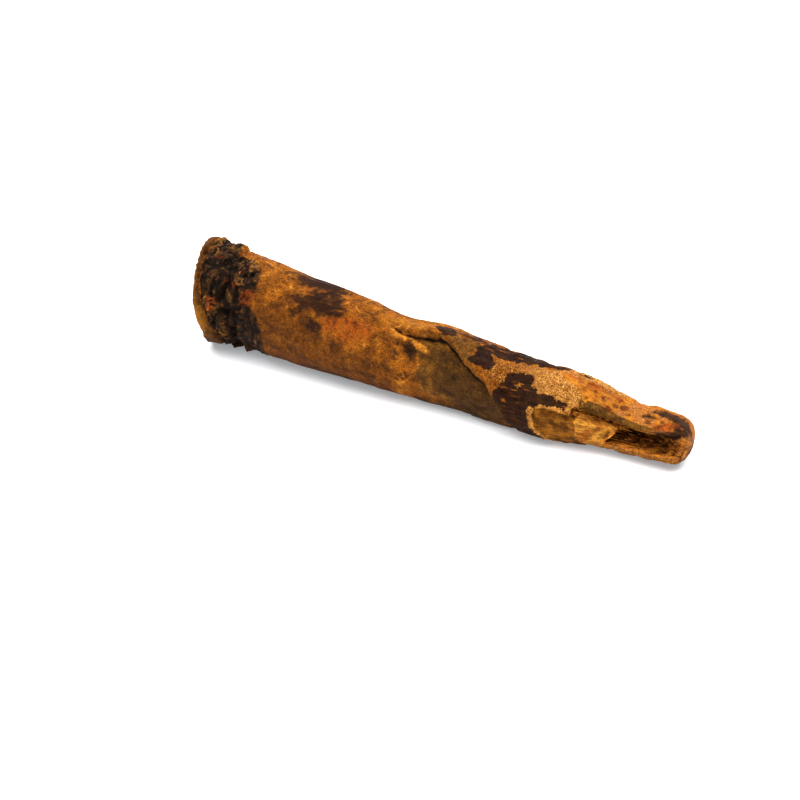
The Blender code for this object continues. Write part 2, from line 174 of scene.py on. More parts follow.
# Outlines of patches of each finish: (place along, angle round) of each corner.
PATCHES = {
    "crisp": (
        (
            (8.5, 54), (9, 68), (9.5, 84), (11.5, 90), (15, 75), (16.5, 63), (17, 51), (15, 45),
            (13.5, 47), (11.5, 48),
        ),
        (
            (9.5, 90), (14.5, 112), (21, 116), (34, 120), (39, 112), (38, 94), (33.5, 87), (28.5, 83),
            (24, 81), (20, 75), (13, 78),
        ),
        (
            (22, 51), (24, 58), (28, 62), (30.5, 62), (31.5, 57), (31, 47), (33, 41), (39.5, 38),
            (43, 35), (42.5, 25), (36.5, 24), (33, 20), (31.5, 8), (31.5, -6), (27.5, -14), (23.5, -16),
            (21, -4), (19.5, 10), (19, 22), (20, 31), (22.5, 40),
        ),
        ((-7.5, 92), (-6.5, 104), (-3, 105), (0, 97), (1.4, 86), (0.4, 77), (-2, 76), (-4.6, 84)),
        (
            (21.5, -10), (26, -10), (31, 2), (32, -14), (33.6, -30), (36.6, -50), (39, -64), (30, -64),
            (25, -40),
        ),
        ((42, 103), (43.5, 112), (46.5, 109), (46, 101)),
    ),
    "light_islands": (
        ((26, 40), (27, 44), (28, 40), (27, 37)),
        ((22, 13), (23, 17), (24.3, 13), (23, 9)),
    ),
    "worn": (
        (
            (-60, 96), (-58, 110), (-55, 128), (-46, 128), (-41, 104), (-42.5, 92), (-45.5, 92),
            (-48.5, 86), (-54.5, 83), (-57.5, 84),
        ),
        (
            (-56, 58), (-52, 66), (-50, 79), (-46.5, 84), (-42.5, 79), (-38, 69), (-37.5, 59),
            (-40.5, 50), (-47, 49), (-53, 49),
        ),
        ((-50.5, 30), (-47, 36), (-43.5, 31), (-47, 25)),
        ((-55.5, 40), (-53, 43), (-50.5, 42), (-53, 38)),
        ((-15, 50), (-12.4, 56), (-9.5, 45), (-10.2, 34), (-12.8, 36)),
        ((-47, 84), (-45, 95), (-40.5, 93), (-40, 74), (-44, 76)),
        ((2, 96), (3, 108), (9, 108), (10, 98), (6, 92)),
        ((-35, 52), (-33.5, 54), (-32, 50), (-33.5, 48)),
    ),
    "cork": (
        (
            (15, 44), (17, 62), (15.5, 73), (20, 74), (28, 82), (38, 92), (42, 100), (45, 80), (49, 40),
            (48, -70), (36, -70), (31, -30), (30, 5), (24, 42), (18, 34),
        ),
    ),
    "rust": (
        ((-73, 45), (-69.5, 46), (-68.8, 28), (-72.5, 24), (-74.5, 34)),
        ((-84.2, 22), (-82.2, 24), (-81.6, 11), (-83.6, 9)),
        ((-44, 44), (-34, 62), (-26, 58), (-26, 40), (-34, 28), (-42, 34)),
        ((68.5, 46), (71, 58), (75.3, 64), (74.5, 54)),
    ),
    "soot": (
        ((67.2, 89), (69, 104), (76, 106), (79, 92), (79.2, 74), (76.8, 64), (75.0, 72), (71.8, 80)),
        ((69.5, 33), (73.4, 43), (76.6, 57), (78.2, 72), (79.6, 66), (78.2, 48), (74.4, 34), (70, 28)),
        ((64.2, 72), (65.6, 78), (68, 77), (66.6, 71)),
    ),
    "tip_rust": (
        ((67.4, 42), (69.6, 60), (74, 72), (77.2, 73), (77, 58), (74, 46)),
        ((46, 90), (49.5, 93), (52, 88), (49, 84)),
        ((53, 88), (56, 90), (58, 85), (55, 83)),
    ),
    "ridge": (
        (
            (-20, 70), (-15, 66), (-11, 62.5), (-5.5, 52), (-4.5, 46), (-7, 44), (-11.6, 53), (-15, 57),
            (-19, 58),
        ),
    ),
    "lip": (
        (
            (-27, 78), (-20, 78), (-12, 76), (-5, 81), (-1, 84), (0, 93), (-6, 104), (-16, 104),
            (-24, 94),
        ),
    ),
    "olive": (
        (
            (-1, 76), (2, 86), (6, 92), (9.5, 88), (9, 66), (8.5, 50), (12, 44), (10, 41), (7, 49),
            (3, 60),
        ),
    ),
    # Painted shade in the recess beside the lobe and under the low ridge.
    "dim": (
        ((1, 62), (8, 47), (15, 30), (22, 0), (26, -40), (8, -60), (-2, 0), (2, 36)),
        ((-12, 36), (-7, 42), (-2, 62), (3, 62), (6, 48), (0, 30)),
    ),
    # Painted shade on the taper's lower flank.
    "shaded": (
        ((-70, 34), (-62, 44), (-54, 43), (-44, 30), (-32, 18), (-18, 20), (-16, -60), (-70, -60)),
    ),
}

# Round spots: (place along, angle round) and size in mm.
RUST_SPOTS = (
    ((54.1, 56), 1.0), ((58.3, 73), 1.2), ((-86.9, 76), 0.9), ((-80.5, 48), 0.9), ((-76.9, 45), 1.0),
    ((47.3, 59), 0.5), ((66.7, 58), 1.1), ((70.6, 66), 0.8), ((49.0, 80), 0.7),
)
DARK_SPOTS = (
    ((51.7, 72), 0.4), ((58.4, 43), 0.4), ((-74.6, 60), 1.2), ((-72.4, 66), 0.9), ((60.5, 60), 0.3),
    ((56.0, 66), 0.3),
)

# Where the crown's dark skin ends: the place along at each angle round.
CROWN_SKIN_ANGLES = (-180.0, -90.0, -22.0, 3.0, 16.0, 26.0, 41.0, 48.0, 72.0, 84.0, 92.0, 125.0, 150.0, 180.0)
CROWN_SKIN_ENDS = (
    -70.0, -66.0, -65.0, -64.2, -66.5, -69.4, -69.8, -68.4, -70.2, -72.5, -82.0, -85.0, -74.0, -70.0,
)

# Where the tongue's split face ends on its upper side: the angle round at each place along.
SPLIT_TOP_PLACES = (38.0, 41.0, 44.0, 48.0, 52.0, 56.0, 59.0, 63.0)
SPLIT_TOP_ANGLES = (99.0, 99.0, 95.0, 95.0, 90.0, 94.0, 104.0, 150.0)

# Where the crown looks, and how far round from there its hidden side begins, in degrees. There its rim is as
# wide as this, in mm.
CROWN_FACING = 30.0
CROWN_HIDDEN = (85.0, 105.0)
HIDDEN_RIM = 4.0

# Low forms: height in mm, below 0 for a groove, and half width across, in mm or degrees. Where two pairs
# follow, the form begins and ends over those places along.
RIM_ROLL = (0.4, 1.2)
RIM_CUT = (-1.9, 0.75)
FURROW_CUT = (-2.4, 1.0)
LAST_FURROW_CUT = (-1.1, 0.6)
LAST_FURROW_GAP = 5.0
LAST_FURROW_TOP = (45.0, 60.0)
LAST_RING = (0.5, 0.8)
LAST_RING_PLACE = (-68.3, 55.0)
LAST_RING_SIZE = (9.0, 24.0)
LAST_RING_SLANT = 0.12
SUNKEN_CRACK = (-1.8, 2.6, (-21.0, -15.0), (20.0, 27.0))
ROLLED_LIP = (1.2, 10.0, (-24.0, -12.0), (0.0, 8.0))
LOBE_EDGE = (0.6, 11.0, (8.0, 14.0), (22.0, 27.0))
LOBE_GROOVE = (-0.6, 5.0, (18.0, 23.0), (38.0, 46.0))
LOBE_GROOVE_PLACES = (18.0, 30.0, 46.0)
LOBE_GROOVE_ANGLES = (25.0, 19.0, 10.0)
RIDGE = (1.1, 4.5, (-20.0, -15.0), (-6.0, -2.0))
RESTING_SIDE = (0.35, 28.0, (-90.0, -80.0), (-62.0, -48.0))
OVAL_RIM = (0.35, 1.1, (30.0, 33.0), (45.0, 46.5))
OVAL_RIM_OUT = 1.2
OVAL_RIM_BEGINS = (-60.0, -40.0)

# The leaf scars: their height, how far they lie in, the depth of their pits, and where they begin behind the
# groove and end along. They are flatter on the plate, at the top and on the hidden side.
SCAR_HEIGHT, SCAR_SINK, SCAR_PITS = 3.3, 1.2, 1.8
SCARS_BEGIN = (0.0, 2.0)
SCARS_END = (-76.0, -71.0)
FLAT_ON_PLATE, FLAT_AT_TOP, FLAT_WHERE_HIDDEN = 0.7, 0.75, 0.4
TOP_OF_CROWN, TOP_WIDTH = 118.0, 26.0

# The raised plate: its height, where it begins and ends along, and its lower and upper sides. Below it, the
# hollow beside it, written the same way.
PLATE_HEIGHT = 0.9
PLATE_ALONG = ((-78.6, -77.4), (-71.6, -70.4))
PLATE_ROUND = ((38.0, 44.0), (92.0, 102.0))
PLATE_HOLLOW = 0.6
PLATE_HOLLOW_ALONG = ((-79.0, -77.0), (-69.0, -66.5))
PLATE_HOLLOW_TOP = (34.0, 42.0)

# The sunken place: its depth, its wall in degrees below the edge, and where it begins, ends and shows.
SUNKEN_DEPTH = 1.7
SUNKEN_WALL = (0.0, 4.0)
SUNKEN_BEGINS = (-21.0, -4.0)
SUNKEN_ENDS = (24.5, 26.0)
SUNKEN_SHOWS = (-75.0, -30.0)
RIDGE_HOLLOW = (-0.9, (-12.0, 42.0), (2.6, 7.0))

# The bark: heights of its wrinkles (in all, and more on the tail half and on the taper), its swelling and its
# flakes, in mm, and where the tail half and the taper begin.
WRINKLE_HEIGHTS = (0.14, 0.24, 0.2)
SWELLING_HEIGHT = 0.5
FLAKE_HEIGHT = 0.45
TAIL_HALF = (2.0, 12.0)
TAPER = (-70.0, -64.0)

# How each octave of a noise falls, and how much finer it is than the one before.
NOISE_FALL, NOISE_STEP = 0.9, 2.0

# Noises: size of the broadest lumps in mm (or along, across and up), octaves and seed.
NOISES = {
    "crown_lines": (7.0, 4, 11.0),
    "scars": ((2.6, 6.5, 6.5), 3, 3.0),
    "scar_pits": (2.6, 3, 23.0),
    "sunken_edge": (5.0, 4, 21.0),
    "wrinkles": ((24.0, 3.4, 3.4), 4, 51.0),
    "swelling": ((18.0, 12.0, 12.0), 3, 61.0),
    "flakes": ((6.0, 5.0, 5.0), 4, 71.0),
    "cut_edges": (4.0, 4, 41.0),
    "split_wood": ((5.0, 1.6, 1.6), 4, 81.0),
    "patch_edges": (3.0, 5, 91.0),
    "hidden_patches": ((16.0, 9.0, 9.0), 5, 31.0),
    "lip_end": ((12.0, 9.0, 9.0), 4, 61.0),
    "behind_rim": ((4.0, 5.0, 5.0), 3, 71.0),
    "knobs": ((4.0, 7.0, 7.0), 3, 5.0),
    "grit": (1.3, 3, 15.0),
    "creases": ((7.0, 2.4, 2.4), 3, 25.0),
    "pocks": (2.6, 3, 55.0),
    "fibres": ((16.0, 1.1, 1.1), 3, 35.0),
    "end_grain": ((3.0, 1.6, 1.6), 4, 45.0),
}

# The side that shows: over which angles it begins low down and ends past the top.
SHOWN_FROM = (-62.0, -40.0)
SHOWN_TO = (122.0, 135.0)

# How far outside a finish a place counts as lying where the finish can't be, in mm.
FAR_OUT = -4.0

# Patches that need no more than their outline: how far, in mm, the edge of each strays.
PLAIN_PATCHES = {
    "rust": 0.8, "tip_rust": 0.8, "soot": 0.4, "shaded": 1.5, "dim": 1.2, "ridge": 0.5, "lip": 0.6,
    "olive": 0.8,
}

# The crown's finishes: the turn to its end face and where that lies, the darkening in the groove behind its
# rim (half width, how much that wanders, how far past the groove, and the angles round), and the painted
# highlights on its scars and rim.
END_FACE_TURN = (0.55, 0.8)
END_FACE_PLACES = (-88.0, -86.0)
GROOVE_DARKENING_WIDTH, GROOVE_DARKENING_WANDER, GROOVE_DARKENING_PAST = 0.55, 0.5, 1.1
GROOVE_DARKENING_ANGLES = (-30.0, 100.0)
GROOVE_DARKENING_BEFORE = -76.0
RIM_BEFORE = -70.0
SCAR_HIGHLIGHTS = ((2.0, (-88.5, 96.0), (5.0, 22.0)), (1.4, (-75.5, 92.0), (5.0, 18.0)))
RIM_HIGHLIGHT = ((2.0, (-91.0, -8.0), (8.0, 24.0)),)

# The sunken place's khaki skin: where it begins and ends, how far its start leans and wanders, and its depth.
KHAKI_BEGINS = (-20.0, -7.0)
KHAKI_ENDS = (20.0, 24.0)
KHAKI_LEAN, KHAKI_LEAN_ANGLE, KHAKI_WANDER = 0.1, 60.0, 7.0
KHAKI_DEPTH = 3.0

# The dark crease along its edge, painted shadow under the rolled lip: half width at each place along, and
# from where to where it runs.
CREASE_WIDTH = 0.24
CREASE_WIDER, CREASE_WIDER_FROM = 0.1, (-14.0, -4.0)
CREASE_NARROWER, CREASE_NARROWER_FROM = 0.06, (0.0, 6.0)
CREASE_BELOW = 0.5
CREASE_PLACES = (-20.5, 26.0)
CREASE_LOWEST = -50.0

# The tail's finishes, in mm along and degrees round.
OVAL_LOWEST = -66.0
OVAL_END = 46.2
STUB_LOWEST = -62.0
STUB_PAST_FLANK = 2.0
SPLIT_LOWEST = 22.0
SPLIT_MORE, SPLIT_MORE_FROM = 5.0, (60.0, 84.0)
SLOT_SHOWS = (43.5, 79.2)
TAIL_LIP_FROM, TAIL_LIP_TOP, TAIL_LIP_TO = 52.0, 20.0, 78.0
TAIL_LIP_DEPTH = 3.0
CORK_FROM = 14.0
CORK_STRIP = (39.0, 62.0)
# The tongue's dark side, carried onto the rounded lower edge of its face as painted shade: where it runs, its
# half width there, and its lowest height.
SIDE_PLACES = (46.0, 54.0, 63.0, 70.0)
SIDE_WIDTHS = (1.3, 1.2, 0.8, 0.2)
SIDE_LOWEST = 8.0

# Small relief in mm. The crown: its knobs, how far they lie in, their cracks and grit. The bark: its creases
# and pocks. The cork: how proud it stands, its grit, and how far crisp patches lie in it. Then the slot's
# fibres and how far they lie in, those of bare wood, the end face, soot and creases.
FINE_CROWN = (0.4, 0.16, 0.3, 0.1)
FINE_BARK = (0.12, 0.1)
FINE_CORK = (0.1, 0.09, 0.05)
FINE_SLOT = (0.7, 0.2)
FINE_WOOD = (0.16, 0.3)
FINE_END_FACE, FINE_SOOT, FINE_CREASE = 0.4, 0.2, 0.5
FINE_ENDS = (76.5, 78.8)

# How far a field's numbers reach, in mm.
FIELD_REACH = 6.0

# Mottled paints: two colours, the vein's colour, blotches to a metre, how veined and how strong the grain is.
MOTTLED_PAINTS = {
    "bark": ("skin", "skin_deep", "skin_brown", 170.0, 0.85, 1.0),
    "shade": ("skin_deep", "skin_brown", "darkest_and_crevice_shade", 300.0, 0.3, 0.9),
    "rusty_bark": ("rust", "skin", "rust_deep", 520.0, 0.5, 0.9),
    "khaki_bark": ("khaki", "khaki_deep", "crown_deep", 260.0, 0.6, 0.9),
    "lip_bark": ("ochre", "skin", "khaki", 300.0, 0.6, 0.9),
    "olive_bark": ("khaki", "khaki_deep", "skin_brown", 420.0, 0.9, 1.2),
    "ridge_bark": ("ochre", "skin", "skin_deep", 420.0, 0.5, 0.9),
    "dark_skin": ("plum", "plum_deep", "darkest_and_crevice_shade", 330.0, 0.8, 0.9),
    "rim_bark": ("rim", "rim_deep", "skin_brown", 260.0, 0.4, 0.6),
    "redness": ("rust", "rust_deep", "crown_deep", 420.0, 0.5, 0.9),
    "tongue_side": ("khaki", "khaki_deep", "darkest_and_crevice_shade", 500.0, 0.3, 0.8),
    "dim_bark": ("khaki_deep", "crown_deep", "darkest_and_crevice_shade", 420.0, 0.4, 0.8),
}

# Wood: its light, middle and dark colours, lines to a metre and how strong they are.
WOOD_PAINTS = {
    "shaved_wood": ("shaved", "shaved_deep", "shaved_line", 1100.0, 0.5),
    "split_wood": ("wood", "wood_deep", "wood_line", 1500.0, 0.6),
    "broken_wood": ("broken", "wood_deep", "shaved_line", 1200.0, 0.5),
    "torn_fibre": ("fibre", "fibre_deep", "darkest_and_crevice_shade", 1000.0, 0.8),
}

# Cork: its crumbs, what is between them, and crumbs to a metre.
CORK_PAINTS = {
    "light_cork": ("cork", "cork_ground", 2100.0),
    "brown_cork": ("cork_ground", "skin_deep", 1900.0),
    "powder": ("flake", "wood_deep", 2300.0),
}

# Noises in the paints: stretch along the root, lumps to a metre, detail, roughness and distortion.
PAINT_NOISES = {
    "flecks": (1.0, 250.0, 8.0, 0.76, 0.5),
    "pale_cork": (1.0, 300.0, 5.0, 0.7, 0.0),
    "streaks": (0.16, 900.0, 5.0, 0.65, 0.4),
    "raised": (1.0, 800.0, 4.0, 0.7, 0.0),
    "gloom": (1.0, 230.0, 4.0, 0.6, 0.0),
    "glints": (1.0, 560.0, 4.0, 0.65, 0.4),
    "powdered": (1.0, 230.0, 5.0, 0.7, 0.0),
    "red_streaks": (0.3, 420.0, 5.0, 0.7, 0.0),
    "gloss": (1.0, 900.0, 3.0, 0.55, 0.0),
    "wrinkles": (0.4, 1100.0, 5.0, 0.65, 0.0),
    "grit": (1.0, 2200.0, 4.0, 0.7, 0.0),
}

# Second colours over a paint: its noise, from which value to which, how strong, and the colour.
BARK_FLECKS = (("flecks", 0.54, 0.62, 0.72, "skin_brown"), ("flecks", 0.46, 0.36, 0.85, "ochre"))
DARK_STREAKS = (("streaks", 0.52, 0.6, 0.5, "skin_brown"), ("streaks", 0.62, 0.67, 0.8, "skin"))
KNOB_BLOTCHES = (("gloom", 0.5, 0.62, 0.75, "crown_deep"), ("glints", 0.64, 0.7, 0.7, "rust"))

# Where paints lie: the field that says, how ragged and how soft the edge is in mm, how strong the paint is,
# and notches to a metre of the edge.
MASKS = {
    "shaded": ("shaded", 7.0, 2.5, 0.85, 300.0),
    "rusty": ("rust", 8.0, 2.5, 0.5, 500.0),
    "sunken": ("sunken", 10.0, 2.2, 0.9, 240.0),
    "lip": ("lip", 4.0, 1.4, 0.45, 420.0),
    "olive": ("olive", 3.5, 1.0, 0.85, 600.0),
    "ridge": ("ridge", 2.2, 0.7, 0.95, 600.0),
    "cork": ("cork", 2.6, 0.5, 1.0, 900.0),
    "round_worn": ("worn", 14.0, 3.0, 0.85, 260.0),
    "worn": ("worn", 12.0, 0.9, 0.8, 420.0),
    "crisp": ("crisp", 2.6, 0.16, 0.96, 700.0),
    "crown": ("crown", 3.0, 0.8, 1.0, 900.0),
    "rim": ("rim", 0.8, 0.4, 1.0, 900.0),
    "rim_light": ("rim_light", 3.0, 0.6, 0.32, 900.0),
    "reddened": ("rust", 3.5, 0.8, 0.5, 600.0),
    "oval": ("oval", 0.6, 0.2, 1.0, 900.0),
    "split": ("split", 0.8, 0.15, 1.0, 900.0),
    "well_in_split": ("split", 0.8, 0.4, 1.0, 900.0),
    "stub": ("stub", 1.2, 0.2, 1.0, 900.0),
    "inside": ("inside", 0.8, 0.4, 1.0, 900.0),
    "side": ("side", 0.6, 0.3, 1.0, 900.0),
    "rust_spot": ("rust_spot", 2.4, 0.35, 0.8, 700.0),
    "tip_rust": ("tip_rust", 3.5, 0.8, 0.9, 700.0),
    "dim": ("dim", 4.0, 2.0, 0.7, 500.0),
    "soot": ("soot", 4.5, 0.9, 0.92, 520.0),
    "crease": ("crease", 0.6, 0.3, 0.92, 900.0),
}

# The paints in order, each over those before it: where it lies, and which it is.
# Among them are painted shade on the taper's lower flank, in the recess by the lobe, in the crease under the
# lip, underneath and in hollows, and a painted highlight on the crown's rim.
COATS = (
    ("shaded", "shade"), ("rusty", "rusty_bark"), ("sunken", "khaki_bark"), ("lip", "lip_bark"),
    ("olive", "olive_bark"), ("ridge", "ridge_bark"), ("cork", "flaked_cork"), ("round_worn", "skin_brown"),
    ("worn", "streaked_skin"), ("crisp", "streaked_skin"), ("crown", "knobs"), ("rim", "rim_bark"),
    ("rim_light", "ochre"), ("reddened", "redness"), ("oval", "shaved_wood"), ("split", "split_wood"),
    ("powdered", "powder"), ("red_streaks", "rust"), ("stub", "broken_wood"), ("inside", "torn_fibre"),
    ("side", "tongue_side"), ("rust_spot", "rust_deep"), ("tip_rust", "redness"), ("end_face", "torn_fibre"),
    ("dim", "dim_bark"), ("soot", "soot"), ("crease", "darkest_and_crevice_shade"), ("underside", "underside"),
    ("cavity", "darkest_and_crevice_shade"), ("hollow", "darkest_and_crevice_shade"),
)

# Grains to a metre in mottled bark, the gloss of dry bark and wood, and how edges lighten, for wear and as a
# painted highlight.
BARK_GRAIN = 1900.0
DRY_GLOSS = 0.04
WORN_AND_LIT_EDGE = (1.7, 1.6, 1.45, 1.0)

# Loose bits: their least and greatest sizes in mm, across, across and along.
CRUMB_SIZES = ((0.1, 0.1, 0.08), (0.32, 0.26, 0.2))
SPLINTER_SIZES = ((0.06, 0.06, 0.8), (0.2, 0.14, 4.5))
SCALE_SIZES = ((0.3, 0.2, 0.08), (0.8, 0.45, 0.16))
ANY_TURN = ((0.0, 0.0, 0.0), (math.pi, math.pi, math.pi))
SPLINTER_TILT = 0.16
ALONG_ROOT = math.pi / 2
SPLINTER_TURN = (
    (-SPLINTER_TILT, ALONG_ROOT - SPLINTER_TILT, -SPLINTER_TILT),
    (SPLINTER_TILT, ALONG_ROOT + SPLINTER_TILT, SPLINTER_TILT),
)
SPLINTER_CONE = {"Vertices": 5, "Radius_Top": 0.25, "Radius_Bottom": 1.0, "Depth": 1.0}

# The camera: its place before the root's move to the frame, in mm, and its angles in degrees.
CAMERA_PLACE = (215.27, -439.81, 284.35)
CAMERA_AZIMUTH = 28.0
CAMERA_ELEVATION = 30.0
CAMERA_HALF_FIELD = 12.7
SENSOR_WIDTH = 36.0
NEAREST_SEEN = 0.01

# The stage, in metres: how far the floor lies under the root, and each light's place and width.
FLOOR_GAP = 0.00002
TOP_LIGHT = ((-0.3, -0.3, 1.9), 2.2)
BACK_LIGHT = ((0.2, 1.5, 1.1), 1.4)


def ramp(value, low, high):
    """0 below low, 1 above high, and a smooth climb between them."""
    t = np.clip((value - low) / (high - low), 0, 1)
    return t * t * (3 - 2 * t)


def fall(value, low, high):
    """1 below low, 0 above high, and a smooth fall between them."""
    return ramp(-value, -high, -low)


def turned(angle, centre):
    """How far the angle lies from centre, from -180 to 180 degrees."""
    return (angle - centre + 180) % 360 - 180


def spot(x, angle, place, size):
    """1 at place, fading to nothing over size; both are (mm along, degrees round)."""
    along = (x - place[0]) / size[0]
    across = turned(angle, place[1]) / size[1]
    return np.exp(-(along**2) - across**2)


def line(value, width):
    """1 where value is 0, fading to nothing over width."""
    return np.exp(-((value / width) ** 2))


def low_form(away, form):
    """The height of a low form, written (height, half width), at this distance from its middle."""
    return form[0] * line(away, form[1])


def strip(x, away, form):
    """A low form that begins and ends along the root."""
    return low_form(away, form) * ramp(x, *form[2]) * fall(x, *form[3])


def spots(x, angle, rows):
    """The height of all the rises and hollows in some rows."""
    return sum(height * spot(x, angle, place, size) for height, place, size in rows)


def tube_at(x, column):
    """One column of the tube's table at x, on a curve with no corner at a row."""
    rows = np.array(TUBE)
    places, values = rows[:, 0], rows[:, column]
    slopes = np.gradient(values, places)
    i = np.clip(np.searchsorted(places, x) - 1, 0, len(places) - 2)
    gap = places[i + 1] - places[i]
    t = np.clip((x - places[i]) / gap, 0, 1)
    rise = t * t * (3 - 2 * t)
    bend = gap * (slopes[i] * t * (1 - t) ** 2 - slopes[i + 1] * t * t * (1 - t))
    return values[i] * (1 - rise) + values[i + 1] * rise + bend


def tube_radius(x, angle):
    """The plain tube's radius at each angle, in mm."""
    turn = np.radians(angle)
    return 1 / np.sqrt((np.cos(turn) / tube_at(x, 1)) ** 2 + (np.sin(turn) / tube_at(x, 2)) ** 2)


def crown_end(angle):
    """Where the crown ends at each angle round."""
    lean = CROWN_LEAN * np.cos(np.radians(angle + CROWN_LEAN_TURN))
    return CROWN_END + lean + CROWN_TUCK * line(turned(angle, CROWN_TUCK_ANGLE), CROWN_TUCK_SPREAD)


def lumps(points, kind):
    """Fractal noise between about -1 and 1 at each point."""
    size, octaves, seed = NOISES[kind]
    scale = np.broadcast_to(np.asarray(size, float), 3)
    where = points.reshape(-1, 3) / scale + seed
    found = [noise.fractal(Vector(place), NOISE_FALL, NOISE_STEP, octaves) for place in where]
    return np.array(found).reshape(points.shape[:-1])


def crown_turn(angle):
    """The angle round, from -150 to 210 degrees, so that it doesn't break on the crown's seen side."""
    return turned(angle, CROWN_FACING) + CROWN_FACING


def crown_hidden(near):
    """1 on the crown's hidden side."""
    return ramp(np.abs(near - CROWN_FACING), *CROWN_HIDDEN)


def rim_groove_at(near, angle):
    """Where the groove behind the crown's rim runs."""
    hidden = crown_hidden(near)
    seen_groove = np.interp(near, CROWN_ANGLES, RIM_GROOVE)
    return seen_groove * (1 - hidden) + (crown_end(angle) + HIDDEN_RIM) * hidden


def crown_relief(x, angle, points):
    """The rim, the rings of leaf scars, the raised plate and the knobs of the crown."""
    near = crown_turn(angle)
    wander = lumps(points, "crown_lines")
    groove = rim_groove_at(near, angle)
    furrow = np.interp(near, CROWN_ANGLES, SECOND_FURROW)
    plate = ramp(x + 0.8 * wander, *PLATE_ALONG[0]) * fall(x - 0.8 * wander, *PLATE_ALONG[1])
    plate = plate * ramp(near + 8 * wander, *PLATE_ROUND[0]) * fall(near - 8 * wander, *PLATE_ROUND[1])
    scarred = ramp(x - groove, *SCARS_BEGIN) * fall(x - 2.0 * wander, *SCARS_END)
    scarred = scarred * (1 - FLAT_ON_PLATE * plate) * (1 - FLAT_AT_TOP * line(near - TOP_OF_CROWN, TOP_WIDTH))
    scarred = scarred * (1 - FLAT_WHERE_HIDDEN * crown_hidden(near))
    scars = SCAR_HEIGHT * np.abs(lumps(points, "scars")) - SCAR_SINK
    scars = scars - SCAR_PITS * ramp(lumps(points, "scar_pits"), 0.25, 0.75)
    hollow = ramp(x, *PLATE_HOLLOW_ALONG[0]) * fall(x - wander, *PLATE_HOLLOW_ALONG[1])
    ring = low_form(x - LAST_RING_PLACE[0] + LAST_RING_SLANT * (near - LAST_RING_PLACE[1]), LAST_RING)
    relief = low_form(x - crown_end(angle) - RIM_ROLL[1], RIM_ROLL)
    relief = relief + low_form(x - groove + 0.4 * wander, RIM_CUT)
    relief = relief + low_form(x - furrow + 2.0 * wander, FURROW_CUT)
    last_furrow = low_form(x - furrow + LAST_FURROW_GAP + 2.4 * wander, LAST_FURROW_CUT)
    relief = relief + last_furrow * fall(near, *LAST_FURROW_TOP) + scarred * scars + PLATE_HEIGHT * plate
    relief = relief - PLATE_HOLLOW * hollow * fall(near, *PLATE_HOLLOW_TOP)
    relief = relief + ring * spot(x, angle, LAST_RING_PLACE, LAST_RING_SIZE)
    return relief + spots(x, angle, CROWN_KNOBS)


def below_sunken_edge(x, near, wander):
    """How far under the edge of the sunken place, in degrees."""
    return np.interp(x, SUNKEN_PLACES, SUNKEN_ANGLES) - near + 3.5 * wander


def sunken_relief(x, angle, points):
    """The sunken place under the rolled lip, and the lobe's edge that bounds it on the right."""
    near = turned(angle, 0.0)
    wander = lumps(points, "sunken_edge")
    below = below_sunken_edge(x, near, wander)
    shown = ramp(near, *SUNKEN_SHOWS) * fall(x, *SUNKEN_ENDS)
    sunken = SUNKEN_DEPTH * ramp(x, *SUNKEN_BEGINS) * ramp(below, *SUNKEN_WALL)
    relief = (strip(x, below - 3.0, SUNKEN_CRACK) - sunken) * shown
    relief = relief + strip(x, below + 10.0, ROLLED_LIP) + strip(x, below + 14.0, LOBE_EDGE)
    relief = relief + strip(x, near - np.interp(x, RIDGE_PLACES, RIDGE_ANGLES) + 4 * wander, RIDGE)
    groove_angle = np.interp(x, LOBE_GROOVE_PLACES, LOBE_GROOVE_ANGLES)
    relief = relief + strip(x, near - groove_angle + 3 * wander, LOBE_GROOVE)
    return relief + spots(x, angle, (RIDGE_HOLLOW,))


def bark_relief(x, angle, points):
    """Wrinkles along the root, the uneven swelling of dried wood and the flaked cork of its tail half."""
    tail_half = ramp(x, *TAIL_HALF)
    in_all, on_tail_half, on_taper = WRINKLE_HEIGHTS
    wrinkled = in_all + on_tail_half * tail_half + on_taper * ramp(x, *TAPER)
    relief = wrinkled * lumps(points, "wrinkles") + SWELLING_HEIGHT * lumps(points, "swelling")
    relief = relief + FLAKE_HEIGHT * tail_half * ramp(lumps(points, "flakes"), -0.05, 0.12)
    relief = relief + strip(x, turned(angle, -90.0), RESTING_SIDE)
    return relief + spots(x, angle, BACK_SWELLINGS)


def shaved(radius, angle, facing_angle, from_middle):
    """The radius where a flat cut, facing that angle at that distance from the middle, limits it."""
    facing = np.maximum(np.cos(np.radians(turned(angle, facing_angle))), 0.15)
    return np.minimum(radius, from_middle / facing)


def oval_edges(x, near, wander):
    """How far past the oval's left edge in mm, and how far below its upper edge in degrees."""
    from_left = x - np.interp(near, OVAL_ANGLES, OVAL_LEFT) - 0.5 * wander
    return from_left, OVAL_TOP + 3 * wander - near


def past_bark_end(x, near, wander):
    """How far past the bark's end, in mm."""
    return x - np.interp(near, BARK_END_ANGLES, BARK_END_PLACES) - 0.9 * wander


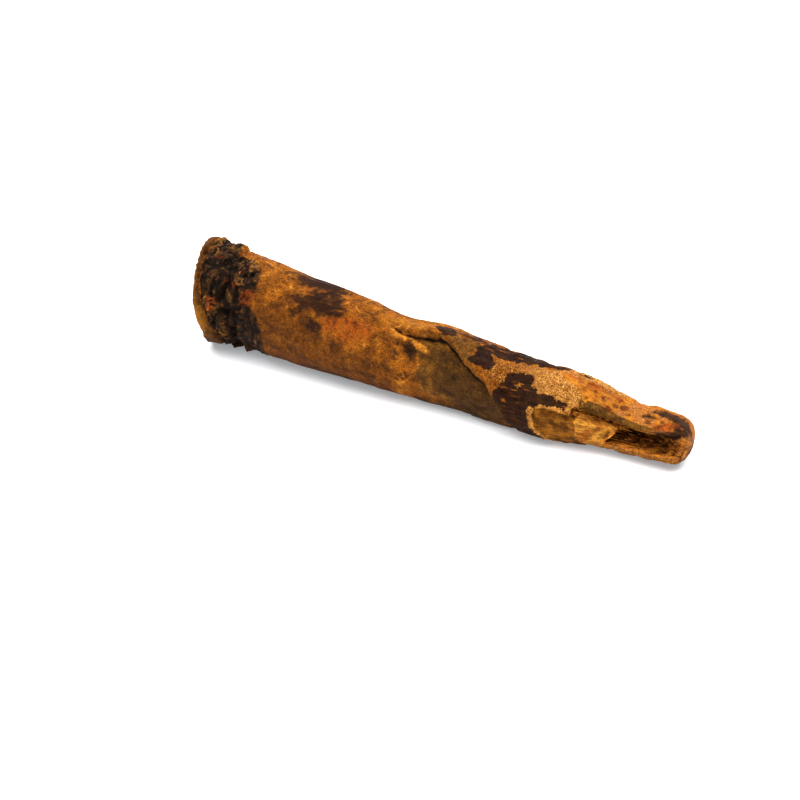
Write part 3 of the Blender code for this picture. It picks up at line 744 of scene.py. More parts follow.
def tail_cuts(x, angle, radius, points):
    """The shaved oval on the side, the broken flank beside the tongue and the tongue's split face."""
    near = turned(angle, 0.0)
    wander = lumps(points, "cut_edges")
    rough = lumps(points, "split_wood")
    from_left, from_top = oval_edges(x, near, wander)
    oval = ramp(from_left, 0.0, 0.7) * ramp(from_top, 0.0, 4.0)
    rim = strip(x, np.minimum(from_left, 0.2 * from_top) + OVAL_RIM_OUT, OVAL_RIM)
    shave = np.interp(x, SHAVE_PLACES, SHAVE_OUT)
    shaven = shaved(radius - BARK_DEPTH, angle, OVAL_FACING, shave + 0.15 * rough)
    radius = radius + oval * (shaven - radius) + rim * ramp(near, *OVAL_RIM_BEGINS)
    flank_end = np.interp(near, FLANK_END_ANGLES, FLANK_END_PLACES)
    flank = tube_at(x, 3) + FLANK_OUT - FLANK_SLOPE * (x - FLANK_START)
    flank = flank + PAST_ALL * ramp(x - flank_end, 0.0, 1.5)
    radius = np.where(near < FLANK_TOP, shaved(radius, angle, 0.0, flank + 0.4 * rough), radius)
    past_bark = ramp(past_bark_end(x, near, wander), 0.0, 1.0)
    from_middle = np.interp(x, SPLIT_PLACES, SPLIT_OUT)
    split = shaved(radius, angle, SPLIT_ANGLE, from_middle + 0.12 * rough)
    return radius + past_bark * (split - radius)


def tube_points(ring_gap, sides):
    """The rings of points of the root before the slot is cut, in mm."""
    first, last = TUBE[0][0], TAIL_END
    shares = np.linspace(0.03, 1, END_RINGS)
    inset = 1 - (1 - shares**2) ** (1 / 2.4)
    inner = np.arange(first + CROWN_ROUNDING, last - TAIL_ROUNDING, ring_gap)[1:]
    along = np.concatenate([first + CROWN_ROUNDING * inset, inner, last - TAIL_ROUNDING * inset[::-1]])
    share = np.concatenate([shares, np.ones(len(inner)), shares[::-1]])
    x, angle = np.meshgrid(along, np.arange(sides) * 360 / sides, indexing="ij")
    share = np.repeat(share[:, None], sides, axis=1)
    lean = (crown_end(angle) - first) * (1 - ramp(x, first, CROWN_LEAN_FADES))
    hollow = CROWN_HOLLOW * ramp(1 - share, 0.2, 0.8) * (x < 0)
    place = x + lean * share + hollow
    across, up = tube_at(x, 3), tube_at(x, 2)
    turn = np.radians(angle)

    def placed(radius):
        return np.stack([place, across - radius * np.cos(turn), up + radius * np.sin(turn)], axis=-1)

    radius = tube_radius(x, angle)
    points = placed(radius * share)
    radius = radius + bark_relief(place, angle, points)
    radius = radius + crown_relief(place, angle, points)
    radius = radius + sunken_relief(place, angle, points)
    radius = tail_cuts(place, angle, radius, points)
    return placed(radius * share)


def new_tube(name, rings):
    """A closed tube through rings of points, in mm."""
    count, sides = rings.shape[:2]
    data = bpy.data.meshes.new(name)
    corner = np.arange(count * sides).reshape(count, sides)
    beside = np.roll(corner, -1, axis=1)
    quads = np.stack([corner[:-1], beside[:-1], beside[1:], corner[1:]], axis=-1).reshape(-1, 4)
    faces = quads.tolist() + [corner[0][::-1].tolist(), corner[-1].tolist()]
    data.from_pydata((rings.reshape(-1, 3) * MM).tolist(), [], faces)
    mesh = bmesh.new()
    mesh.from_mesh(data)
    bmesh.ops.recalc_face_normals(mesh, faces=mesh.faces)
    mesh.to_mesh(data)
    mesh.free()
    obj = bpy.data.objects.new(name, data)
    bpy.context.scene.collection.objects.link(obj)
    return obj


def slot_cutter():
    """The slot's space: a cage of few faces, rounded by subdivision."""
    rings = []
    for x, side, edge, roof, lip, floor, back in SLOT:
        ring = (
            (x, SLOT_MOUTH, edge + 0.5),
            (x, side, edge),
            (x, side + 0.3, roof),
            (x, max(back - 2.0, -1.5), roof - 0.3),
            (x, back, (roof + floor) / 2),
            (x, back - 2.0, floor),
            (x, min(-3.0, back - 3.0), floor),
            (x, -5.6, lip),
            (x, SLOT_MOUTH, lip - 1.0),
        )
        lean = SLOT_LEAN * (1 - ramp(x, *SLOT_LEAN_FADES))
        rings.append([(x - lean * max(roof - up, 0.0), across, up) for x, across, up in ring])
    cutter = new_tube("slot_cutter", np.array(rings))
    rounding = cutter.modifiers.new("rounding", "SUBSURF")
    rounding.levels = rounding.render_levels = 2
    return cutter


def freeze(obj):
    """Replaces obj's mesh by what its modifiers make of it."""
    graph = bpy.context.evaluated_depsgraph_get()
    old = obj.data
    obj.data = bpy.data.meshes.new_from_object(obj.evaluated_get(graph))
    obj.modifiers.clear()
    obj.data.name = obj.name
    bpy.data.meshes.remove(old)


def skin_over(obj, voxel, smoothing):
    """One even skin over obj, with the slot cut out first."""
    cutter = slot_cutter()
    cut = obj.modifiers.new("slot", "BOOLEAN")
    cut.operation = "DIFFERENCE"
    cut.solver = "EXACT"
    cut.object = cutter
    skin = obj.modifiers.new("skin", "REMESH")
    skin.mode = "VOXEL"
    skin.voxel_size = voxel
    smooth = obj.modifiers.new("smooth", "SMOOTH")
    smooth.iterations = smoothing
    freeze(obj)
    bpy.data.objects.remove(cutter)


def keep_largest(obj):
    """Removes any crumb that the cuts left beside the root."""
    mesh = bmesh.new()
    mesh.from_mesh(obj.data)
    left, bodies = set(mesh.verts), []
    while left:
        body, edge_of_body = set(), [left.pop()]
        while edge_of_body:
            vertex = edge_of_body.pop()
            body.add(vertex)
            for edge in vertex.link_edges:
                other = edge.other_vert(vertex)
                if other in left:
                    left.remove(other)
                    edge_of_body.append(other)
        bodies.append(body)
    bodies.sort(key=len)
    for body in bodies[:-1]:
        bmesh.ops.delete(mesh, geom=list(body), context="VERTS")
    mesh.to_mesh(obj.data)
    mesh.free()


def vertex_array(mesh, name="co"):
    found = np.zeros(len(mesh.vertices) * 3, np.float32)
    mesh.vertices.foreach_get(name, found)
    return found.reshape(-1, 3).astype(float)


def spread(mesh, values, rounds):
    """Each vertex's value averaged with its neighbours' some times over."""
    edges = np.zeros(len(mesh.edges) * 2, np.int32)
    mesh.edges.foreach_get("vertices", edges)
    a, b = edges.reshape(-1, 2).T
    count = np.bincount(a, minlength=len(values)) + np.bincount(b, minlength=len(values))
    for _ in range(rounds):
        total = np.zeros_like(values)
        np.add.at(total, a, values[b])
        np.add.at(total, b, values[a])
        shape = (-1,) + (1,) * (values.ndim - 1)
        values = 0.5 * values + 0.5 * total / count.reshape(shape)
    return values


def depth_in(x, angle, outline):
    """How far inside a closed outline, in mm; less than 0 outside."""
    corners = np.array(outline, float)
    middle = corners.mean(0)
    across = tube_at(middle[0], 1) * np.pi / 180
    corners[:, 1] = (corners[:, 1] - middle[1]) * across
    places = np.stack([x, turned(angle, middle[1]) * across], axis=-1)
    low, high = corners.min(0) + FAR_OUT, corners.max(0) - FAR_OUT
    close = ((places > low) & (places < high)).all(1)
    found = np.full(len(x), FAR_OUT)
    near = places[close]
    nearest = np.full(len(near), 99.0)
    within = np.zeros(len(near), bool)
    for first, second in zip(corners, np.roll(corners, -1, axis=0)):
        side = second - first
        share = np.clip((near - first) @ side / (side @ side), 0, 1)
        nearest = np.minimum(nearest, np.linalg.norm(near - first - share[:, None] * side, axis=1))
        crosses = (near[:, 1] < first[1]) != (near[:, 1] < second[1])
        rise = side[1] if side[1] else 1.0
        within ^= crosses & (near[:, 0] < first[0] + (near[:, 1] - first[1]) / rise * side[0])
    found[close] = np.where(within, nearest, -nearest)
    return found


def depth_in_any(x, angle, outlines):
    """How far inside the nearest of some outlines, in mm."""
    return np.maximum.reduce([depth_in(x, angle, outline) for outline in outlines])


def depth_in_spots(x, angle, rows):
    """How far inside the nearest round spot, in mm."""
    per_degree = tube_at(x, 1) * np.pi / 180
    return np.maximum.reduce(
        [size - np.hypot(x - place, turned(angle, turn) * per_degree) for (place, turn), size in rows]
    )


def least(*depths):
    """How far inside all of some finishes, in mm."""
    return np.minimum.reduce(depths)


class Surface:
    """Where each vertex of the skin lies on the root, and the noises that its finishes share."""

    def __init__(self, points, normals):
        self.points = points
        self.normals = normals
        self.x, self.y, self.z = points.T
        rise = self.z - tube_at(self.x, 2)
        out = tube_at(self.x, 3) - self.y
        self.angle = np.degrees(np.arctan2(rise, out))
        self.near = turned(self.angle, 0.0)
        self.proud = np.hypot(rise, out) - tube_radius(self.x, self.angle)
        self.per_degree = tube_at(self.x, 1) * np.pi / 180
        self.edge = lumps(points, "patch_edges")
        self.blotches = lumps(points, "hidden_patches")
        self.cut_edges = lumps(points, "cut_edges")
        self.shown = ramp(self.near, *SHOWN_FROM) * fall(self.near, *SHOWN_TO)

    def depth(self, name, ragged=0.0):
        """How far inside a patch, in mm, with an edge that strays as far as ragged."""
        return depth_in_any(self.x, self.angle, PATCHES[name]) + ragged * self.edge

    def carried_round(self, depth, hidden_depth):
        """A finish that is carried round the hidden sides with another one."""
        return depth * self.shown + np.maximum(depth, hidden_depth) * (1 - self.shown)


def crown_fields(at):
    """The crown's scarred skin, rim and end face, the darker groove behind the rim, and painted highlights on
    scars and rim.
    """
    near = crown_turn(at.angle)
    groove = rim_groove_at(near, at.angle)
    end_face = ramp(-at.normals[:, 0], *END_FACE_TURN) * fall(at.x, *END_FACE_PLACES)
    skin_end = np.interp(at.near, CROWN_SKIN_ANGLES, CROWN_SKIN_ENDS)
    crown = least(at.x - groove - 0.3, skin_end - at.x) + 0.6 * at.edge
    dirt = GROOVE_DARKENING_WIDTH + GROOVE_DARKENING_WANDER * lumps(at.points, "behind_rim")
    dirt = dirt - np.abs(at.x - groove - GROOVE_DARKENING_PAST)
    in_groove_band = (near > GROOVE_DARKENING_ANGLES[0]) & (near < GROOVE_DARKENING_ANGLES[1]) & (at.x < GROOVE_DARKENING_BEFORE)
    return {
        "crown": crown - 6.0 * end_face,
        "rim": np.where(at.x < RIM_BEFORE, groove - at.x, FAR_OUT),
        "end_face": end_face,
        "dirt": np.where(in_groove_band, dirt, FAR_OUT),
        "rim_light": spots(at.x, at.angle, RIM_HIGHLIGHT) - 1.0,
        # Height over the plain tube, with painted highlights on some scars: the paint is lighter the higher
        # this is.
        "raised": at.proud + spots(at.x, at.angle, SCAR_HIGHLIGHTS),
    }


def patch_fields(at):
    """Patches of dark, worn, sooty and reddish skin; painted shade on the lower flank, in the recess and
    below.
    """
    fields = {name: at.depth(name, ragged) for name, ragged in PLAIN_PATCHES.items()}
    crisp = least(at.depth("crisp", 0.9), 0.4 * at.edge - at.depth("light_islands"))
    crisp = at.carried_round(crisp, np.where(at.x > 0, 6.0 * at.blotches - 1.0, FAR_OUT))
    worn = at.carried_round(at.depth("worn", 1.0) + 0.4, 5.0 * at.blotches - 1.4)
    fields["crisp"] = np.where(at.x > -8.0, crisp, FAR_OUT)
    fields["worn"] = np.where(at.x > -66.0, worn, FAR_OUT)
    fields["soot"] = np.maximum(fields["soot"] + 0.4, depth_in_spots(at.x, at.angle, DARK_SPOTS))
    fields["rust_spot"] = depth_in_spots(at.x, at.angle, RUST_SPOTS)
    # Painted shade, darker towards the lower side.
    fields["underside"] = fall(at.near, -75.0, -20.0) * ramp(180.0 + at.near, 10.0, 60.0)
    return fields


def sunken_fields(at):
    """The khaki skin of the sunken place, and the dark crease along its edge: painted shadow under the rolled
    lip.
    """
    below = below_sunken_edge(at.x, at.near, lumps(at.points, "sunken_edge")) * at.per_degree
    lean = KHAKI_LEAN * (at.near - KHAKI_LEAN_ANGLE) + KHAKI_WANDER * lumps(at.points, "lip_end")
    under_lip = ramp(at.x + lean, *KHAKI_BEGINS) * fall(at.x, *KHAKI_ENDS)
    width = CREASE_WIDTH + CREASE_WIDER * ramp(at.x, *CREASE_WIDER_FROM)
    width = width - CREASE_NARROWER * ramp(at.x, *CREASE_NARROWER_FROM)
    creased = (at.x > CREASE_PLACES[0]) & (at.x < CREASE_PLACES[1]) & (at.near > CREASE_LOWEST)
    crease = np.where(creased, width - np.abs(below - CREASE_BELOW), FAR_OUT)
    return {
        "sunken": np.minimum(below, KHAKI_DEPTH) * under_lip - KHAKI_DEPTH * (1 - under_lip),
        "crease": least(crease, 0.3 * (at.x + 20.0)),
    }


def tail_fields(at):
    """The oval, the broken flank, the tongue's face and side, the slot's inside, and the cork round them."""
    x, near, per_degree = at.x, at.near, at.per_degree
    from_left, from_top = oval_edges(x, near, at.cut_edges)
    oval_end = OVAL_END + 0.9 * at.cut_edges - 0.03 * near
    oval = least(from_left, from_top * per_degree, (near - OVAL_LOWEST) * per_degree, oval_end - x)
    split_top = np.interp(x, SPLIT_TOP_PLACES, SPLIT_TOP_ANGLES)
    past_bark = past_bark_end(x, near, at.cut_edges) + SPLIT_MORE * ramp(near, *SPLIT_MORE_FROM)
    split = least(past_bark, (near - SPLIT_LOWEST) * per_degree, (split_top - near) * per_degree)
    flank_end = np.interp(near, FLANK_END_ANGLES, FLANK_END_PLACES) + STUB_PAST_FLANK
    stub = least(x - oval_end, flank_end - x)
    stub = least(stub, (FLANK_TOP - near) * per_degree, (near - STUB_LOWEST) * per_degree)
    slot = -1.0 - at.proud - 6.0 * split.clip(0, 1) - 4.0 * stub.clip(0, 1)
    lip = np.minimum(least(x - TAIL_LIP_FROM, TAIL_LIP_TOP - near), TAIL_LIP_DEPTH)
    cork = at.carried_round(at.depth("cork"), np.where(x > CORK_FROM, 7.0 * at.blotches + 1.0, FAR_OUT))
    above_split = least(x - CORK_STRIP[0], CORK_STRIP[1] - x, (near - split_top) * per_degree)
    cork = np.maximum.reduce([cork, above_split, least(lip, TAIL_LIP_TO - x)])
    places, sides, _, roofs = np.array(SLOT)[:, :4].T
    # The tongue's side keeps its own dark colour, and reaches onto the rounded lower edge of its face as
    # painted shade.
    side_width = np.interp(x, SIDE_PLACES, SIDE_WIDTHS)
    side = side_width - np.abs(at.y - np.interp(x, places, sides))
    side = least(side, at.z - np.interp(x, places, roofs) - 0.2, x - SIDE_PLACES[0])
    on_side = (x < SIDE_PLACES[-1]) & (at.z > SIDE_LOWEST) & (at.normals[:, 1] < -0.3)
    return {
        "oval": oval,
        "split": split,
        "stub": stub,
        "inside": np.where((x > SLOT_SHOWS[0]) & (x < SLOT_SHOWS[1]), slot, FAR_OUT),
        "side": np.where(on_side, side, FAR_OUT),
        "cork": cork + 0.8 * at.edge,
        "pale": ramp(x, 20.0, 40.0) * (1 - 0.85 * ramp(lip, 0.0, 1.0)),
        "flaky": np.maximum(ramp(x, 49.0, 57.0), 0.8 * ramp(near, 80.0, 92.0)),
    }


def finish_fields(at):
    """Where each finish of the root lies: for most names, how far inside it each vertex is, in mm."""
    fields = {**crown_fields(at), **patch_fields(at), **sunken_fields(at), **tail_fields(at)}
    fields["crease"] = np.maximum(fields["crease"], fields.pop("dirt"))
    return fields


def fine_relief(at, fields):
    """The small relief of each finish, in mm along the surface's normal; adds the fields that it sets."""
    def within(name, soft=0.6):
        return ramp(fields[name], 0.0, soft)

    crown, inside, crisp = within("crown", 1.5), within("inside", 0.8), within("crisp", 0.3)
    bare = np.maximum.reduce([within("oval"), within("split"), within("stub"), inside])
    cork = within("cork", 1.0) * (1 - bare)
    knobs, grit = lumps(at.points, "knobs"), lumps(at.points, "grit")
    cracks, high = line(knobs, 0.1), np.abs(knobs)
    pocks = ramp(lumps(at.points, "pocks"), 0.35, 0.6)
    fibres = np.abs(lumps(at.points, "fibres"))
    relief = crown * (FINE_CROWN[0] * high - FINE_CROWN[1] - FINE_CROWN[2] * cracks + FINE_CROWN[3] * grit)
    creased = FINE_BARK[0] * lumps(at.points, "creases") - FINE_BARK[1] * pocks
    relief = relief + (1 - crown) * (1 - bare) * creased
    relief = relief + cork * (1 - crisp) * (FINE_CORK[0] + FINE_CORK[1] * grit) - cork * crisp * FINE_CORK[2]
    relief = relief + inside * (FINE_SLOT[0] * fibres - FINE_SLOT[1])
    relief = relief + (bare - inside) * FINE_WOOD[0] * (fibres - FINE_WOOD[1])
    relief = relief + FINE_END_FACE * fields["end_face"] * lumps(at.points, "end_grain")
    relief = relief - FINE_SOOT * within("soot", 0.4) - FINE_CREASE * within("crease", 0.5)
    # How light the crown's scars are painted: lighter where they stand high, a painted highlight, and darker
    # in their cracks, painted shade.
    raised = 0.42 + 0.16 * fields["raised"] + 0.5 * high - 0.7 * cracks + 0.2 * grit
    torn = np.maximum.reduce([0.8 * inside, line(fields["stub"], 0.5), 0.6 * line(fields["oval"], 0.4)])
    off_floor = ramp(at.z, 1.0, 2.0)
    fields["raised"] = np.clip(raised, 0, 1)
    fields["crumbs"] = cork * (1 - crisp) * ramp(at.z, 1.5, 3.0)
    fields["splinters"] = torn * ramp(at.x, 34.0, 38.0) * fall(at.x, 70.0, 72.0) * off_floor
    fields["scales"] = crown * ramp(high, 0.1, 0.3) * off_floor
    return relief * fall(at.x, *FINE_ENDS)


def write_fields(mesh, fields):
    """Writes each field on the mesh's vertices, for its material and for what is strewn on it."""
    for name, values in fields.items():
        attribute = mesh.attributes.new(name, "FLOAT", "POINT")
        attribute.data.foreach_set("value", np.clip(values, -FIELD_REACH, FIELD_REACH).astype(np.float32))


def cut_at_floor(obj):
    """Cuts the lowest swellings off flat, at the surface that the root rests on."""
    mesh = bmesh.new()
    mesh.from_mesh(obj.data)
    flat = bmesh.ops.bisect_plane(
        mesh, geom=mesh.verts[:] + mesh.edges[:] + mesh.faces[:], dist=1e-7,
        plane_co=(0, 0, 0), plane_no=(0, 0, -1), clear_outer=True,
    )
    rim = [item for item in flat["geom_cut"] if isinstance(item, bmesh.types.BMEdge)]
    bmesh.ops.holes_fill(mesh, edges=rim, sides=0)
    mesh.to_mesh(obj.data)
    mesh.free()


class Shader:
    """A node tree being built: each call adds one node and returns its output."""

    def __init__(self, tree):
        self.tree = tree

    def node(self, kind, settings=None, **inputs):
        made = self.tree.nodes.new(kind)
        for name, value in (settings or {}).items():
            setattr(made, name, value)
        for name, value in inputs.items():
            self.feed(made, name.replace("_", " "), value)
        return made

    def feed(self, node, name, value):
        socket = node.inputs[int(name)] if name.isdigit() else node.inputs[name]
        if isinstance(value, bpy.types.NodeSocket):
            self.tree.links.new(value, socket)
        else:
            socket.default_value = value

    def math(self, operation, first, second=0.0, clamp=False):
        made = self.tree.nodes.new("ShaderNodeMath")
        made.operation = operation
        made.use_clamp = clamp
        self.feed(made, "0", first)
        self.feed(made, "1", second)
        return made.outputs[0]

    def noise(self, where, scale, detail=4.0, rough=0.55, distortion=0.0):
        made = self.node("ShaderNodeTexNoise", Vector=where, Scale=scale, Detail=detail, Roughness=rough)
        made.inputs["Distortion"].default_value = distortion
        return made.outputs["Fac"]

    def span(self, value, low, high, to_low=0.0, to_high=1.0):
        made = self.node("ShaderNodeMapRange", {"interpolation_type": "SMOOTHSTEP"}, Value=value)
        for name, number in zip(("From Min", "From Max", "To Min", "To Max"), (low, high, to_low, to_high)):
            self.feed(made, name, number)
        return made.outputs["Result"]

    def mix(self, share, first, second, blend="MIX"):
        made = self.tree.nodes.new("ShaderNodeMix")
        made.data_type = "RGBA"
        made.blend_type = blend
        self.feed(made, "0", share)
        self.feed(made, "6", first)
        self.feed(made, "7", second)
        return made.outputs[2]

    def grey(self, value):
        made = self.tree.nodes.new("ShaderNodeCombineColor")
        for name in ("Red", "Green", "Blue"):
            self.feed(made, name, value)
        return made.outputs[0]

    def stretched(self, where, scale):
        made = self.node("ShaderNodeMapping", Vector=where)
        made.inputs["Scale"].default_value = scale
        return made.outputs[0]

    def field(self, name):
        return self.node("ShaderNodeAttribute", {"attribute_name": name}).outputs["Fac"]

    def group(self, tree, **inputs):
        made = self.tree.nodes.new("ShaderNodeGroup")
        made.node_tree = tree
        for name, value in inputs.items():
            self.feed(made, name.replace("_", " "), value)
        return made.outputs


def rgb(red, green, blue):
    """A colour as it shows on screen, from 0 to 255, made linear."""
    def linear(part):
        part = part / 255
        return part / 12.92 if part < 0.04045 else ((part + 0.055) / 1.055) ** 2.4

    return (linear(red), linear(green), linear(blue), 1.0)


def opaque(colour):
    return tuple(colour) + (1.0,)


def new_group(name, inputs, outputs):
    """An empty shader group with its sockets; returns it with its input and output nodes."""
    tree = bpy.data.node_groups.new(name, "ShaderNodeTree")
    for title, kind in inputs:
        tree.interface.new_socket(title, in_out="INPUT", socket_type="NodeSocket" + kind)
    for title, kind in outputs:
        tree.interface.new_socket(title, in_out="OUTPUT", socket_type="NodeSocket" + kind)
    return tree, tree.nodes.new("NodeGroupInput"), tree.nodes.new("NodeGroupOutput")


def ragged_edge_group():
    """Turns a depth in mm into a mask with a ragged edge."""
    tree, given, made = new_group(
        "ragged_edge",
        (("Where", "Vector"), ("Depth", "Float"), ("Ragged", "Float"), ("Soft", "Float"), ("Grain", "Float")),
        (("Mask", "Float"),),
    )
    s = Shader(tree)
    wiggle = s.math("SUBTRACT", s.noise(given.outputs["Where"], given.outputs["Grain"], 5.0, 0.65), 0.5)
    moved = s.math("ADD", given.outputs["Depth"], s.math("MULTIPLY", wiggle, given.outputs["Ragged"]))
    low = s.math("MULTIPLY", given.outputs["Soft"], -1.0)
    tree.links.new(s.span(moved, low, given.outputs["Soft"]), made.inputs["Mask"])
    return tree


def mottle_group():
    """Two colours in blotches of one size, veined with a third, with fine grain over them."""
    tree, given, made = new_group(
        "mottle",
        (
            ("Where", "Vector"), ("First", "Color"), ("Second", "Color"), ("Vein", "Color"),
            ("Blotch", "Float"), ("Veined", "Float"), ("Grain", "Float"), ("Contrast", "Float"),
        ),
        (("Colour", "Color"), ("Height", "Float")),
    )
    s = Shader(tree)
    where = given.outputs["Where"]
    share = s.span(s.noise(where, given.outputs["Blotch"], 7.0, 0.72, 0.3), 0.36, 0.64)
    colour = s.mix(share, given.outputs["First"], given.outputs["Second"])
    veins = s.noise(where, s.math("MULTIPLY", given.outputs["Blotch"], 1.7), 5.0, 0.7, 0.5)
    vein = s.math("MULTIPLY", s.span(veins, 0.52, 0.64), given.outputs["Veined"])
    colour = s.mix(vein, colour, given.outputs["Vein"])
    grain = s.noise(where, given.outputs["Grain"], 3.0, 0.75)
    shade = s.math("MULTIPLY", s.span(grain, 0.3, 0.7, -0.55, 0.6), given.outputs["Contrast"])
    shade = s.math("ADD", shade, 1.0)
    tree.links.new(s.mix(1.0, colour, s.grey(shade), "MULTIPLY"), made.inputs["Colour"])
    tree.links.new(s.math("SUBTRACT", grain, vein), made.inputs["Height"])
    return tree


def grain_group():
    """Wood grain: fine dark lines along the root over two colours."""
    tree, given, made = new_group(
        "wood_grain",
        (
            ("Where", "Vector"), ("Light", "Color"), ("Middle", "Color"), ("Dark", "Color"),
            ("Lines", "Float"), ("Strength", "Float"),
        ),
        (("Colour", "Color"), ("Height", "Float")),
    )
    s = Shader(tree)
    along = s.stretched(given.outputs["Where"], (0.07, 1.0, 1.0))
    lines = s.noise(along, given.outputs["Lines"], 4.0, 0.62, 0.2)
    broad = s.noise(given.outputs["Where"], 260.0, 5.0, 0.6)
    grit = s.noise(given.outputs["Where"], 2300.0, 3.0, 0.7)
    colour = s.mix(s.span(broad, 0.4, 0.62), given.outputs["Light"], given.outputs["Middle"])
    share = s.math("MULTIPLY", s.span(lines, 0.5, 0.43), given.outputs["Strength"])
    colour = s.mix(share, colour, given.outputs["Dark"])
    shade = s.span(grit, 0.28, 0.72, 0.78, 1.2)
    tree.links.new(s.mix(1.0, colour, s.grey(shade), "MULTIPLY"), made.inputs["Colour"])
    tree.links.new(lines, made.inputs["Height"])
    return tree


def speckle_group():
    """Corky speckle: light crumbs with dark pores between them."""
    tree, given, made = new_group(
        "cork_speckle",
        (("Where", "Vector"), ("Crumb", "Color"), ("Ground", "Color"), ("Pore", "Color"), ("Size", "Float")),
        (("Colour", "Color"), ("Height", "Float")),
    )
    s = Shader(tree)
    where = given.outputs["Where"]
    coarse = s.noise(where, given.outputs["Size"], 1.0, 0.5)
    fine = s.noise(where, s.math("MULTIPLY", given.outputs["Size"], 2.1), 1.0, 0.5)
    grit = s.math("ADD", s.math("MULTIPLY", coarse, 0.5), s.math("MULTIPLY", fine, 0.5))
    colour = s.mix(s.span(grit, 0.48, 0.6), given.outputs["Ground"], given.outputs["Crumb"])
    colour = s.mix(s.span(grit, 0.46, 0.37), colour, given.outputs["Pore"])
    tree.links.new(colour, made.inputs["Colour"])
    tree.links.new(grit, made.inputs["Height"])
    return tree


def bark_paints(s, where, colours):
    """The bark's plain colours and mixed paints by name, and the height of each mixed one."""
    paints = {name: opaque(getattr(colours, name)) for name in colours.__annotations__}
    mottle, grain, speckle = mottle_group(), grain_group(), speckle_group()
    mixed = {}
    for name, (first, second, vein, blotch, veined, contrast) in MOTTLED_PAINTS.items():
        mixed[name] = s.group(
            mottle, Where=where, First=paints[first], Second=paints[second], Vein=paints[vein],
            Blotch=blotch, Veined=veined, Grain=BARK_GRAIN, Contrast=contrast,
        )
    for name, (light, middle, dark, lines, strength) in WOOD_PAINTS.items():
        mixed[name] = s.group(
            grain, Where=where, Light=paints[light], Middle=paints[middle], Dark=paints[dark],
            Lines=lines, Strength=strength,
        )
    for name, (crumb, ground, size) in CORK_PAINTS.items():
        mixed[name] = s.group(
            speckle, Where=where, Crumb=paints[crumb], Ground=paints[ground], Pore=paints["pore"], Size=size,
        )
    paints.update((name, made[0]) for name, made in mixed.items())
    return paints, {name: made[1] for name, made in mixed.items()}


def bark_masks(s, where):
    """Where each of the bark's paints lies, by name, apart from those that noises choose."""
    ragged = ragged_edge_group()
    masks = {}
    for name, (field, wiggle, soft, strength, size) in MASKS.items():
        found = s.group(ragged, Where=where, Depth=s.field(field), Ragged=wiggle, Soft=soft, Grain=size)[0]
        masks[name] = s.math("MULTIPLY", found, strength)
    off_end = s.math("SUBTRACT", 1.0, s.field("end_face"), True)
    masks["rim"] = s.math("MULTIPLY", masks["rim"], off_end)
    masks["rim_light"] = s.math("MULTIPLY", masks["rim"], masks["rim_light"])
    masks["end_face"] = s.field("end_face")
    # Painted shade towards the lower side.
    masks["underside"] = s.math("MULTIPLY", s.field("underside"), 0.7)
    # Painted shade in concave places and broad hollows, less inside the slot.
    masks["cavity"] = s.span(s.field("cavity"), 0.02, 0.2, 0.0, 0.85)
    hollow = s.span(s.field("hollow"), 0.2, 1.4, 0.0, 0.6)
    masks["hollow"] = s.math("MULTIPLY", hollow, s.span(s.field("inside"), 1.0, 0.0, 0.3, 1.0))
    return masks


